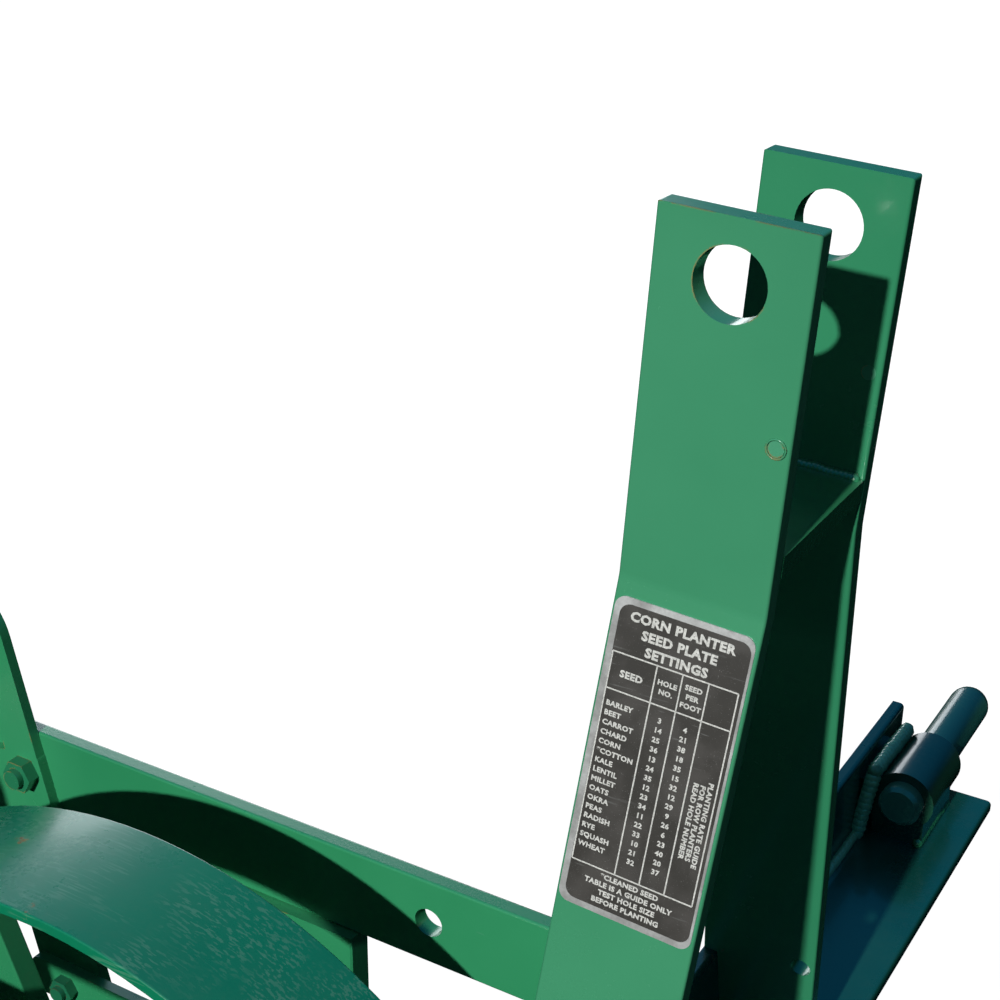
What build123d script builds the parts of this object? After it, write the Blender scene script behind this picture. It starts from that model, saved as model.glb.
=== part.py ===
from build123d import *
import os
from math import asin, atan2, cos, degrees, hypot, radians, sin, tan

os.makedirs("parts", exist_ok=True)

# ---------------------------------------------------------------- driving sizes (mm)
# The machine stands on its two wheels on the plane Z = 0. +X points to the tractor,
# +Y to the left side. Distances called "back" are measured behind the mast top.
SIDES = (("left", 1), ("right", -1))

SLIP = 0.3  # gap between pieces that slide or turn past each other
RUN = 0.05  # radial running clearance of shafts and pins
HEAD = 0.65  # bolt head and nut height as a share of the thread size
EASE = 1.0  # rounded edge of hot-rolled bar

# frame
RAIL_TOP = 475.0
RAIL_H = 50.8
RAIL_T = 9.5
RAIL_GAP = 235.0
RAIL_END_BACK = 1050.0
RAIL_HOLE_BACK = 212.0
RAIL_HOLE_R = 8.25

# hitch cross angle
ANGLE_LONG = 660.4
ANGLE_FLAT = 60.0
ANGLE_TALL = 50.8
ANGLE_T = 6.35
ANGLE_AHEAD = 13.0
ANGLE_ROOT = 6.35
ANGLE_TOE = 2.4

# mast
MAST_TOP = 886.0
MAST_W = 50.8
MAST_T = 7.94
MAST_SPREAD = 85.0
MAST_LEAN = 3.45
MAST_BEND_DOWN = 122.0
MAST_SPLAY = 12.0
MAST_BEND_R = 12.0
TOP_HOLE_R = 11.75
TOP_HOLE_DOWN = 20.1
SPACER_DOWN = 103.0
PLUG_R = 2.6
PLUG_DOWN = 65.5
PLUG_AHEAD = 20.8
LEG_HOLE_R = 4.5
LEG_HOLE_DOWN = 350.0
LEG_HOLE_AHEAD = 19.0
CHART_W = 48.6
CHART_H = 108.5
CHART_T = 0.5
CHART_BELOW_BEND = 6.0

# lower hitch pins
PIN_R = 11.1
PIN_GROOVE = 0.5  # a turned groove just outside each bushing
PIN_GROOVE_W = 2.0
PIN_BACK = 18.5
PIN_UP = 30.6
PIN_TIP = 392.0
BUSH_R = 16.0
BUSH_IN = 270.0
BUSH_OUT = 316.0
PIN_STUB = 8.0

# front drive wheel
WHEEL_BACK = 327.0
WHEEL_R = 255.0
WHEEL_W = 78.0
RIM_T = 6.35
SPOKES = 6
SPOKE_ANGLE = 21.0
SPOKE_W = 25.4
SPOKE_T = 12.7
HUB_R = 30.0
HUB_L = 92.0
AXLE_R = 12.7
HANGER_T = 15.9
HANGER_TOP_W = 140.0
HANGER_STRAIGHT = 48.0
HANGER_BOSS_R = 38.0
BEARING_R = 19.0
BEARING_FLANGE_R = 26.0
BEARING_FLANGE_T = 5.0
BEARING_PROUD = 2.0  # how far a bearing stands out of its hanger
COLLAR_R = 21.0
COLLAR_W = 14.0
COLLAR_SCREW_R = 5.0
COLLAR_SCREW_H = 6.0
AXLE_END = 7.0  # length of a shaft past its collar or pulley

# braces on the rails' inner faces
BRACE_T = 6.35
BRACE_BACK = 489.0
BRACE_LEAN = 13.0
BRACE_W = 25.4
BRACE_BEND_Z = 548.0
BRACE_END_Z = 652.0
STRUT_W = 50.8
STRUT_BOTTOM = 284.0
STRUT_HOLE_R = 5.0
TIE_W = 25.4
TIE_T = 6.35
TIE_Z = 305.0
TIE_TAIL = 28.0

# belt drive on the right side
BELT_Y = 150.0
DRIVE_PITCH_R = 70.0
AGITATOR_PITCH_R = 45.0
BELT_TOP_W = 12.7
BELT_BOTTOM_W = 7.6
BELT_H = 8.0
GROOVE_GAP = 0.5
SHEAVE_W = 20.0
SHEAVE_LIP = 5.5
SHEAVE_WALL = 5.0
GROOVE_FLOOR = 1.0  # gap under the belt in the groove
IDLER_R = 26.0
IDLER_W = 20.0
IDLER_ARM_W = 26.0
IDLER_ARM_T = 6.35
IDLER_SHARE = 0.42
IDLER_BOLT_R = 6.0
IDLER_HUB_R = 12.0
IDLER_WALL = 5.0
IDLER_DISH = 4.0
IDLER_SET_BACK = 8.0

# seed hopper
HOPPER_BACK = 817.0
HOPPER_R = 105.0
HOPPER_TOP = 755.0
SHEET_T = 1.6
BASE_FLANGE_T = 18.0
BASE_FLANGE_X = 210.0
BASE_FLOOR_T = 8.0
BASE_WALL_T = 7.0
BASE_WALL_TOP = 546.0
BASE_EAR_T = 10.0
BASE_EAR_W = 112.0
AGITATOR_Z = 522.0
AGITATOR_R = 8.0
SHAFT_BOSS_R = 17.0
FINGER_HUB_R = 14.0
FINGER_HUB_L = 16.0
FINGER_R = 2.5
FINGER_GAP = 2.0  # between the fingers and the seed plate's centre bolt
FINGER_ROWS = (-50.0, 0.0, 50.0)
BAND_T = 3.0
BAND_H = 22.0
LID_SKIRT = 14.0
LID_RING_R = (70.0, 78.0)  # pressed ring, inner and outer
LID_RING_T = 1.6
SKIRT_FROM = 60.0  # the skirt starts this far behind the lid's centre
HINGE_R = 5.0
HINGE_PIN_R = 2.5
HINGE_BACK = 9.0  # hinge axis behind the shell
HINGE_DOWN = 4.0
KNUCKLE_L = 28.0
HINGE_LEAF_T = 3.0
HINGE_LEAF_H = 22.0
KNOB_R = 15.0
KNOB_H = 30.0
KNOB_NECK_R = 6.0
KNOB_FOOT_R = 9.0

# metering
PLATE_R = 88.0
PLATE_T = 4.0
OUTLET_OFFSET = 62.0
OUTLET_R = 13.0
CENTRE_BOLT_R = 5.0
CENTRE_HEAD_R = 9.0
CENTRE_HEAD_H = 4.0
WING_HUB_R = 10.0
WING_HUB_H = 9.0
WING_R = (8.0, 5.0)
WING_T = 4.0
PLATE_HOLES = 16
PLATE_HOLE_R = 2.0
PLATE_HOLE_STEP = 0.45
POCKET_GAP = 3.0
GATE_T = 3.0
GATE_R = 20.0
GATE_ARM_W = 22.0
LEVER_L = 62.0
LEVER_W = 14.0
LEVER_TURN = 32.0
LEVER_KNOB_R = 6.0
LEVER_KNOB_H = 16.0
PIVOT_BOSS_R = 8.0
BOSS_AHEAD = 33.0
BOSS_SIDE = 42.0
FUNNEL_FLANGE_T = 5.0
FUNNEL_FLANGE_X = 86.0
FUNNEL_R = 34.0
FUNNEL_H = 62.0
FUNNEL_WALL = 6.0
FUNNEL_SOCKET = 16.0
FUNNEL_BOLT_R = 3.7
TUBE_R = 17.0
TUBE_WALL = 1.8
TUBE_BOTTOM = 62.0

# cross tubes, opener and coverers
TUBE_SQ = 38.0
TUBE_SQ_WALL = 4.0
FRONT_TUBE_BACK = 621.0
REAR_TUBE_BACK = 953.0
CLAMP_X = 50.0
CLAMP_Y = 44.0
SHANK_X = 38.0
SHANK_Y = 12.7
SHANK_TOP = 540.0
SHOE_BOTTOM = 12.0
SHOE_TOP = 165.0
SHOE_WALL = 5.0
SHOE_INNER = 42.0
SHOE_TAIL_BACK = 788.0
SHOE_BOLT_R = 5.0
SHOE_BOLT_Z = (95.0, 135.0)
SHOE_SEAT = 14.0
SHOE_NOSE = 34.0  # point of the keel ahead of the shank
SHOE_CHEEK = 46.0  # where the wings reach full width, behind the shank's front
SHOE_FLOOR = 40.0
COVER_REACH = 74.0
COVER_KNEE_Z = 250.0
COVER_FOOT = (40.0, 92.0)
COVER_BEND_R = 26.0
COVER_Y = 62.0
COVER_W = 25.4
COVER_T = 8.0
BLADE_T = 4.0
BLADE_H = 78.0
BLADE_L = 64.0
BLADE_TURN = 38.0
TINE_BOLT_R = 5.0
SCRAPER_T = 4.0
SCRAPER_GAP = 2.0
SCRAPER_TIP_Z = 400.0
TIE_BAR_T = 8.0
TIE_BAR_W = 30.0
TIE_BAR_OUT = 32.0

# press wheel
PRESS_BACK = 1150.0
PRESS_R = 150.0
PRESS_W = 70.0
PRESS_WALL = 5.0
PRESS_HUB_R = 24.0
PRESS_AXLE_R = 9.5
ARM_PIVOT_BACK = 1000.0
ARM_W = 38.0
ARM_T = 9.5
ARM_PIVOT_R = 7.9
STOP_R = 6.0
STOP_ALONG = 20.0
PRESS_DISH = 7.0
PRESS_WEB = 8.0
PRESS_HUB_OUT = 4.0
PRESS_HOLES = 6
PRESS_HOLE_R = 22.0
PRESS_HOLE_AT = 82.0
SPACER_WALL = 4.0
M12_R = 6.0

# ---------------------------------------------------------------- places worked out
lean = radians(MAST_LEAN)
splay = radians(MAST_SPLAY)
front_reach = MAST_W / 2 * cos(lean)
rear_reach = PRESS_BACK + PRESS_R
MAST_X = (rear_reach - front_reach) / 2

rail_mid = RAIL_TOP - RAIL_H / 2
rail_in = RAIL_GAP / 2
rail_out = rail_in + RAIL_T
rail_front = MAST_X + ANGLE_AHEAD
wheel_x = MAST_X - WHEEL_BACK
hopper_x = MAST_X - HOPPER_BACK
outlet_x = hopper_x + OUTLET_OFFSET
press_x = MAST_X - PRESS_BACK
pivot_x = MAST_X - ARM_PIVOT_BACK
front_tube_x = MAST_X - FRONT_TUBE_BACK
rear_tube_x = MAST_X - REAR_TUBE_BACK
rail_tail = MAST_X - RAIL_END_BACK
hanger_in = rail_in - BRACE_T
hanger_out = hanger_in + HANGER_T
angle_top = RAIL_TOP + ANGLE_T
angle_heel = rail_front - ANGLE_FLAT
tube_mid = rail_mid


def side_plane(y, x=0.0, z=0.0):
    """A sketch plane facing -Y, with local x along +X and local y along +Z."""
    return Plane(origin=(x, y, z), x_dir=(1, 0, 0), z_dir=(0, -1, 0))


def mast_point(ahead, down, y=0.0):
    """A point of the mast, given ahead of its centre line and down from its top."""
    x = MAST_X + ahead * cos(lean) - down * sin(lean)
    z = MAST_TOP - ahead * sin(lean) - down * cos(lean)
    return (x, y, z)


def bolt(x, y_head, y_nut, z, r):
    """A hexagon bolt along Y with its nut, added to the open part."""
    direction = 1 if y_head > y_nut else -1
    head_h = 2 * r * HEAD
    with BuildSketch(side_plane(y_head, x, z)) as head:
        RegularPolygon(1.75 * r, 6)
    extrude(head.sketch, amount=-direction * head_h)
    with BuildSketch(side_plane(y_nut, x, z)) as nut:
        RegularPolygon(1.75 * r, 6)
    extrude(nut.sketch, amount=direction * head_h)
    with BuildSketch(side_plane(y_head, x, z)) as stem:
        Circle(r)
    extrude(stem.sketch, amount=direction * (abs(y_nut - y_head) + 1.5 * head_h))


# ---------------------------------------------------------------- mast
# Two flat bars stand on the cross angle, lean forward, and splay outwards below
# the spacer. The top-link pin goes through both.
mast_plane = Plane(origin=mast_point(0, 0), x_dir=(0, 1, 0), z_dir=(cos(lean), 0, -sin(lean)))
leg_drop = (MAST_TOP - RAIL_TOP) / cos(lean) + MAST_W
half_spread = MAST_SPREAD / 2

for side, s in SIDES:
    with BuildPart() as mast:
        with BuildSketch(mast_plane):
            drift = (leg_drop - MAST_BEND_DOWN) * tan(splay)
            slant = MAST_T / cos(splay)
            inner_bend = MAST_BEND_DOWN + MAST_T * tan(splay / 2)
            with BuildLine():
                Polyline(
                    (s * half_spread, 0),
                    (s * half_spread, -MAST_BEND_DOWN),
                    (s * (half_spread + drift), -leg_drop),
                    (s * (half_spread + drift - slant), -leg_drop),
                    (s * (half_spread - MAST_T), -inner_bend),
                    (s * (half_spread - MAST_T), 0),
                    close=True,
                )
            make_face()
            bends = vertices().filter_by(lambda v: abs(v.Y + MAST_BEND_DOWN) < MAST_T)
            fillet(bends, MAST_BEND_R)
        extrude(amount=MAST_W / 2, both=True)
        fillet(faces().sort_by(Axis(mast_plane.origin, mast_plane.z_dir))[-1].edges(), EASE)
        fillet(faces().sort_by(Axis(mast_plane.origin, mast_plane.z_dir))[0].edges(), EASE)
        split(bisect_by=Plane.XY.offset(angle_top), keep=Keep.TOP)
        # the rear edge is notched around the standing leg of the cross angle
        notch_x = angle_heel + ANGLE_T
        with Locations((notch_x - MAST_W / 2, s * rail_in, angle_top)):
            Box(MAST_W, RAIL_GAP, 2 * (ANGLE_TALL - ANGLE_T), mode=Mode.SUBTRACT)
        with Locations((notch_x, s * rail_in, angle_top)):
            Box(2 * ANGLE_ROOT, RAIL_GAP, 2 * ANGLE_ROOT, mode=Mode.SUBTRACT)
        with BuildSketch(side_plane(0, *mast_point(0, TOP_HOLE_DOWN)[::2])):
            Circle(TOP_HOLE_R)
        extrude(amount=MAST_SPREAD, both=True, mode=Mode.SUBTRACT)
        with BuildSketch(side_plane(0, *mast_point(LEG_HOLE_AHEAD, LEG_HOLE_DOWN)[::2])):
            Circle(LEG_HOLE_R)
        extrude(amount=RAIL_GAP, both=True, mode=Mode.SUBTRACT)
        with BuildSketch(side_plane(0, *mast_point(PLUG_AHEAD, PLUG_DOWN)[::2])):
            Circle(PLUG_R)
        extrude(amount=MAST_SPREAD, both=True, mode=Mode.SUBTRACT)
    mast.part.label = f"mast_plate_{side}"
    export_step(mast.part, f"parts/mast_plate_{side}.step")

with BuildPart() as spacer:
    spacer_plane = Plane(
        origin=mast_point(0, SPACER_DOWN), x_dir=(0, 1, 0), z_dir=(sin(lean), 0, cos(lean))
    )
    with BuildSketch(spacer_plane):
        Rectangle(MAST_SPREAD - 2 * MAST_T, MAST_W)
    extrude(amount=-MAST_T)
spacer.part.label = "mast_spacer"
export_step(spacer.part, "parts/mast_spacer.step")

# one plug weld closes the small hole in each mast plate
with BuildPart() as plugs:
    for side, s in SIDES:
        with BuildSketch(side_plane(s * (half_spread + 0.4), *mast_point(PLUG_AHEAD, PLUG_DOWN)[::2])):
            Circle(PLUG_R)
        extrude(amount=s * (MAST_T + 0.4))
plugs.part.label = "mast_plugs"
export_step(plugs.part, "parts/mast_plugs.step")

# thin chart plate stuck on the outer face of the right leg, below the bend
chart_down = MAST_BEND_DOWN + CHART_BELOW_BEND
chart_top = mast_point(0, chart_down, -half_spread - CHART_BELOW_BEND * tan(splay))
along = (-sin(lean) * cos(splay), -sin(splay), -cos(lean) * cos(splay))
across = (cos(lean), 0, -sin(lean))
outward = Vector(*along).cross(Vector(*across))
with BuildPart() as chart:
    with BuildSketch(Plane(origin=chart_top, x_dir=across, z_dir=outward)):
        with Locations((0, -CHART_H / 2)):
            RectangleRounded(CHART_W, CHART_H, 4.0)
    extrude(amount=CHART_T)
chart.part.label = "seed_chart_plate"
export_step(chart.part, "parts/seed_chart_plate.step")

# ---------------------------------------------------------------- hitch cross angle
with BuildPart() as cross_angle:
    with BuildSketch(side_plane(0)):
        with BuildLine():
            Polyline(
                (rail_front, RAIL_TOP),
                (rail_front, angle_top),
                (angle_heel + ANGLE_T, angle_top),
                (angle_heel + ANGLE_T, RAIL_TOP + ANGLE_TALL),
                (angle_heel, RAIL_TOP + ANGLE_TALL),
                (angle_heel, RAIL_TOP),
                close=True,
            )
        make_face()
        fillet(vertices().group_by(Axis.Y)[0], EASE)
        fillet(vertices().group_by(Axis.X)[-1].sort_by(Axis.Y)[-1], ANGLE_TOE)
        fillet(vertices().group_by(Axis.Y)[-1].sort_by(Axis.X)[-1], ANGLE_TOE)
        inner_corner = (angle_heel + ANGLE_T, angle_top)
        fillet(vertices().sort_by_distance(inner_corner)[0], ANGLE_ROOT)
    extrude(amount=ANGLE_LONG / 2, both=True)
cross_angle.part.label = "hitch_cross_angle"
export_step(cross_angle.part, "parts/hitch_cross_angle.step")

# ---------------------------------------------------------------- hitch bushings and pins
pin_x = MAST_X - PIN_BACK
pin_z = RAIL_TOP + PIN_UP
# each bushing is a tube with a flat saddle, lying in the corner of the angle
with BuildPart() as bushings:
    with BuildSketch(side_plane(BUSH_IN)):
        with Locations((pin_x, pin_z)):
            Circle(BUSH_R)
        saddle_h = pin_z - angle_top
        with Locations((pin_x - 2, pin_z - saddle_h / 2)):
            Rectangle(2 * BUSH_R - 4, saddle_h)
        wall_gap = pin_x - angle_heel - ANGLE_T
        with Locations((pin_x - wall_gap / 2, pin_z - 2)):
            Rectangle(wall_gap, BUSH_R)
        with Locations((pin_x, pin_z)):
            Circle(PIN_R, mode=Mode.SUBTRACT)
    extrude(amount=-(BUSH_OUT - BUSH_IN))
    with Locations((angle_heel + ANGLE_T, (BUSH_IN + BUSH_OUT) / 2, angle_top)):
        Box(2 * (ANGLE_ROOT + 1), 2 * BUSH_OUT, 2 * (ANGLE_ROOT + 1), mode=Mode.SUBTRACT)
    mirror(about=Plane.XZ)
bushings.part.label = "hitch_bushings"
export_step(bushings.part, "parts/hitch_bushings.step")

# each pin is turned with a round nose, and stands through its bushing
with BuildPart() as pins:
    with BuildSketch(Plane(origin=(pin_x, 0, pin_z), x_dir=(1, 0, 0), z_dir=(0, 0, 1))):
        with BuildLine():
            start = BUSH_IN - PIN_STUB
            Polyline(
                (0, start),
                (PIN_R - 2, start),
                (PIN_R, start + 2),
                (PIN_R, BUSH_OUT),
                (PIN_R - PIN_GROOVE, BUSH_OUT),
                (PIN_R - PIN_GROOVE, BUSH_OUT + PIN_GROOVE_W),
                (PIN_R, BUSH_OUT + PIN_GROOVE_W),
                (PIN_R, PIN_TIP - PIN_R),
            )
            RadiusArc((PIN_R, PIN_TIP - PIN_R), (0, PIN_TIP), -PIN_R)
            Line((0, PIN_TIP), (0, start))
        make_face()
    revolve(axis=Axis((pin_x, 0, pin_z), (0, 1, 0)))
    mirror(about=Plane.XZ)
pins.part.label = "hitch_pins"
export_step(pins.part, "parts/hitch_pins.step")

# ---------------------------------------------------------------- rails
brace_x = MAST_X - BRACE_BACK
base_bolt_x = (hopper_x - 40, hopper_x + 40)
press_arm_l = hypot(press_x - pivot_x, PRESS_R - rail_mid)
arm_dir = ((press_x - pivot_x) / press_arm_l, (PRESS_R - rail_mid) / press_arm_l)
stop_out = ARM_W / 2 + STOP_R + SLIP / 2
stop_x = pivot_x + STOP_ALONG * arm_dir[0] + stop_out * arm_dir[1]
stop_z = rail_mid + STOP_ALONG * arm_dir[1] - stop_out * arm_dir[0]
rail_holes = [
    (MAST_X - RAIL_HOLE_BACK, rail_mid, RAIL_HOLE_R),
    (brace_x, rail_mid, M12_R),
    (base_bolt_x[0], rail_mid, M12_R),
    (base_bolt_x[1], rail_mid, M12_R),
    (pivot_x, rail_mid, ARM_PIVOT_R),
    (stop_x, stop_z, STOP_R),
]
for side, s in SIDES:
    with BuildPart() as rail:
        length = rail_front - rail_tail
        with Locations(((rail_front + rail_tail) / 2, s * (rail_in + RAIL_T / 2), rail_mid)):
            Box(length, RAIL_T, RAIL_H)
        fillet(edges().filter_by(Axis.X), 1.5)
        for x, z, r in rail_holes:
            with BuildSketch(side_plane(0, x, z)):
                Circle(r)
            extrude(amount=-s * 2 * rail_out, mode=Mode.SUBTRACT)
    rail.part.label = f"rail_{side}"
    export_step(rail.part, f"parts/rail_{side}.step")

tube_bore = TUBE_SQ - 2 * TUBE_SQ_WALL
tine_bolt_places = ((rear_tube_x, COVER_Y), (rear_tube_x, -COVER_Y))
for name, x, bolt_places in (("front", front_tube_x, ()), ("rear", rear_tube_x, tine_bolt_places)):
    with BuildPart() as tube:
        with BuildSketch(side_plane(0, x, tube_mid)):
            RectangleRounded(TUBE_SQ, TUBE_SQ, TUBE_SQ_WALL + 1)
            RectangleRounded(tube_bore, tube_bore, TUBE_SQ_WALL / 2, mode=Mode.SUBTRACT)
        extrude(amount=rail_in, both=True)
        for place in bolt_places:
            with BuildSketch(Plane.XY):
                with Locations(place):
                    Circle(TINE_BOLT_R)
            extrude(amount=RAIL_TOP, mode=Mode.SUBTRACT)
    tube.part.label = f"{name}_cross_tube"
    export_step(tube.part, f"parts/{name}_cross_tube.step")

# ---------------------------------------------------------------- drive wheel
# a plate welded under each rail carries a flanged axle bearing
with BuildPart() as hangers:
    hanger_top = RAIL_TOP - RAIL_H
    half = HANGER_TOP_W / 2
    with BuildSketch(side_plane(hanger_in)):
        with BuildLine():
            Polyline(
                (wheel_x - half, hanger_top),
                (wheel_x + half, hanger_top),
                (wheel_x + half, hanger_top - HANGER_STRAIGHT),
                (wheel_x + HANGER_BOSS_R, WHEEL_R),
                (wheel_x - HANGER_BOSS_R, WHEEL_R),
                (wheel_x - half, hanger_top - HANGER_STRAIGHT),
                close=True,
            )
        make_face()
        with Locations((wheel_x, WHEEL_R)):
            Circle(HANGER_BOSS_R)
            Circle(BEARING_R, mode=Mode.SUBTRACT)
    extrude(amount=-HANGER_T)
    sharp = edges().filter_by(GeomType.LINE).filter_by(lambda e: abs(e.tangent_at(0.5).Y) < 0.1)
    chamfer(sharp.filter_by(lambda e: e.center().Z < hanger_top - 1), EASE)
    mirror(about=Plane.XZ)
hangers.part.label = "axle_hangers"
export_step(hangers.part, "parts/axle_hangers.step")

with BuildPart() as bearings:
    with BuildSketch(side_plane(hanger_in - BEARING_FLANGE_T, wheel_x, WHEEL_R)):
        Circle(BEARING_FLANGE_R)
        Circle(AXLE_R + RUN, mode=Mode.SUBTRACT)
    extrude(amount=-BEARING_FLANGE_T)
    with BuildSketch(side_plane(hanger_in, wheel_x, WHEEL_R)):
        Circle(BEARING_R)
        Circle(AXLE_R + RUN, mode=Mode.SUBTRACT)
    extrude(amount=-(HANGER_T + BEARING_PROUD))
    mirror(about=Plane.XZ)
bearings.part.label = "axle_bearings"
export_step(bearings.part, "parts/axle_bearings.step")

with BuildPart() as rim:
    with BuildSketch(side_plane(0, wheel_x, WHEEL_R)):
        Circle(WHEEL_R)
        Circle(WHEEL_R - RIM_T, mode=Mode.SUBTRACT)
    extrude(amount=WHEEL_W / 2, both=True)
    fillet(edges().filter_by(GeomType.CIRCLE), EASE)
rim.part.label = "drive_wheel_rim"
export_step(rim.part, "parts/drive_wheel_rim.step")

with BuildPart() as spokes:
    reach = WHEEL_R - RIM_T
    for i in range(SPOKES):
        angle = radians(90 + SPOKE_ANGLE + i * 360 / SPOKES)
        spoke_mid = ((reach + HUB_R) / 2 * cos(angle), (reach + HUB_R) / 2 * sin(angle))
        with BuildSketch(side_plane(0, wheel_x, WHEEL_R)):
            with Locations(Location(spoke_mid, degrees(angle))):
                Rectangle(reach - HUB_R + 4, SPOKE_W)
        extrude(amount=SPOKE_T / 2, both=True)
    long_edges = edges().filter_by(lambda e: e.length > reach / 2)
    fillet(long_edges, EASE)
    with BuildSketch(side_plane(0, wheel_x, WHEEL_R)):
        Circle(HUB_R)
        Circle(WHEEL_R)
        Circle(reach, mode=Mode.SUBTRACT)
        Circle(HUB_R)
    extrude(amount=WHEEL_W, both=True, mode=Mode.SUBTRACT)
spokes.part.label = "drive_wheel_spokes"
export_step(spokes.part, "parts/drive_wheel_spokes.step")

with BuildPart() as hub:
    with BuildSketch(side_plane(0, wheel_x, WHEEL_R)):
        Circle(HUB_R)
        Circle(AXLE_R, mode=Mode.SUBTRACT)
    extrude(amount=HUB_L / 2, both=True)
    chamfer(edges().filter_by(GeomType.CIRCLE).filter_by(lambda e: e.radius > AXLE_R + 1), 2)
hub.part.label = "drive_wheel_hub"
export_step(hub.part, "parts/drive_wheel_hub.step")

collar_y = hanger_out + BEARING_PROUD + SLIP
axle_left = collar_y + COLLAR_W + AXLE_END
axle_right = BELT_Y + SHEAVE_W / 2 + AXLE_END
with BuildPart() as axle:
    with BuildSketch(side_plane(axle_left, wheel_x, WHEEL_R)):
        Circle(AXLE_R)
    extrude(amount=axle_left + axle_right)
    chamfer(edges(), 1.5)
axle.part.label = "drive_axle"
export_step(axle.part, "parts/drive_axle.step")

with BuildPart() as collar:
    with BuildSketch(side_plane(collar_y, wheel_x, WHEEL_R)):
        Circle(COLLAR_R)
        Circle(AXLE_R, mode=Mode.SUBTRACT)
    extrude(amount=-COLLAR_W)
    screw_plane = Plane(origin=(wheel_x, collar_y + COLLAR_W / 2, WHEEL_R), z_dir=(0, 0, 1))
    with BuildSketch(screw_plane.offset(COLLAR_R - 2)):
        RegularPolygon(COLLAR_SCREW_R, 6)
    extrude(amount=COLLAR_SCREW_H)
collar.part.label = "axle_collar"
export_step(collar.part, "parts/axle_collar.step")


# ---------------------------------------------------------------- belt drive
def sheave_outline(pitch_r, bore_r, hub_r, width, lip):
    """Half section of a V-belt pulley: local x is the radius, local y the width."""
    outer = pitch_r + lip
    half_top = BELT_TOP_W / 2 + GROOVE_GAP
    half_low = BELT_BOTTOM_W / 2 + GROOVE_GAP
    slope = (half_top - half_low) / BELT_H
    floor_r = pitch_r - BELT_H / 2 - GROOVE_FLOOR
    mouth = half_low + (outer - (pitch_r - BELT_H / 2)) * slope
    rim_in = floor_r - SHEAVE_WALL
    web = SHEAVE_WALL
    Polyline(
        (bore_r, -width / 2),
        (hub_r, -width / 2),
        (hub_r, -web),
        (rim_in, -web),
        (rim_in, -width / 2),
        (outer, -width / 2),
        (outer, -mouth),
        (floor_r, -half_low + slope),
        (floor_r, half_low - slope),
        (outer, mouth),
        (outer, width / 2),
        (rim_in, width / 2),
        (rim_in, web),
        (hub_r, web),
        (hub_r, width / 2),
        (bore_r, width / 2),
        close=True,
    )


agitator_x = hopper_x
for label, x, z, pitch_r, bore_r, hub_r in (
    ("drive_pulley", wheel_x, WHEEL_R, DRIVE_PITCH_R, AXLE_R, 24.0),
    ("agitator_pulley", agitator_x, AGITATOR_Z, AGITATOR_PITCH_R, AGITATOR_R, 17.0),
):
    with BuildPart() as pulley:
        with BuildSketch(Plane(origin=(x, -BELT_Y, z), x_dir=(1, 0, 0), z_dir=(0, 0, 1))):
            with BuildLine():
                sheave_outline(pitch_r, bore_r, hub_r, SHEAVE_W, SHEAVE_LIP)
            make_face()
        revolve(axis=Axis((x, -BELT_Y, z), (0, 1, 0)))
    pulley.part.label = label
    export_step(pulley.part, f"parts/{label}.step")

# the belt is two straight runs and two arcs about the pulley centres
span_x = agitator_x - wheel_x
span_z = AGITATOR_Z - WHEEL_R
span = hypot(span_x, span_z)
run_angle = atan2(span_z, span_x)
wrap = asin((DRIVE_PITCH_R - AGITATOR_PITCH_R) / span)


def rim_point(cx, cz, r, angle):
    """A point on a circle about (cx, cz)."""
    return (cx + r * cos(angle), cz + r * sin(angle))


upper = run_angle - radians(90) + wrap
lower = run_angle + radians(90) - wrap
belt_plane = side_plane(-BELT_Y)
with BuildPart() as belt:
    with BuildLine(belt_plane) as belt_path:
        a = rim_point(wheel_x, WHEEL_R, DRIVE_PITCH_R, upper)
        b = rim_point(agitator_x, AGITATOR_Z, AGITATOR_PITCH_R, upper)
        c = rim_point(agitator_x, AGITATOR_Z, AGITATOR_PITCH_R, run_angle)
        d = rim_point(agitator_x, AGITATOR_Z, AGITATOR_PITCH_R, lower)
        e = rim_point(wheel_x, WHEEL_R, DRIVE_PITCH_R, lower)
        f = rim_point(wheel_x, WHEEL_R, DRIVE_PITCH_R, run_angle + radians(180))
        Line(a, b)
        ThreePointArc(b, c, d)
        Line(d, e)
        ThreePointArc(e, f, a)
    run_turn = atan2(b[1] - a[1], b[0] - a[0])
    run_dir = (cos(run_turn), 0, sin(run_turn))
    # local x runs across the belt, and local y points into the loop
    with BuildSketch(Plane(origin=(a[0], -BELT_Y, a[1]), x_dir=(0, 1, 0), z_dir=run_dir)):
        with BuildLine():
            Polyline(
                (-BELT_BOTTOM_W / 2, BELT_H / 2),
                (BELT_BOTTOM_W / 2, BELT_H / 2),
                (BELT_TOP_W / 2, -BELT_H / 2),
                (-BELT_TOP_W / 2, -BELT_H / 2),
                close=True,
            )
        make_face()
    sweep(path=belt_path.line)
belt.part.label = "drive_belt"
export_step(belt.part, "parts/drive_belt.step")

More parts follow.
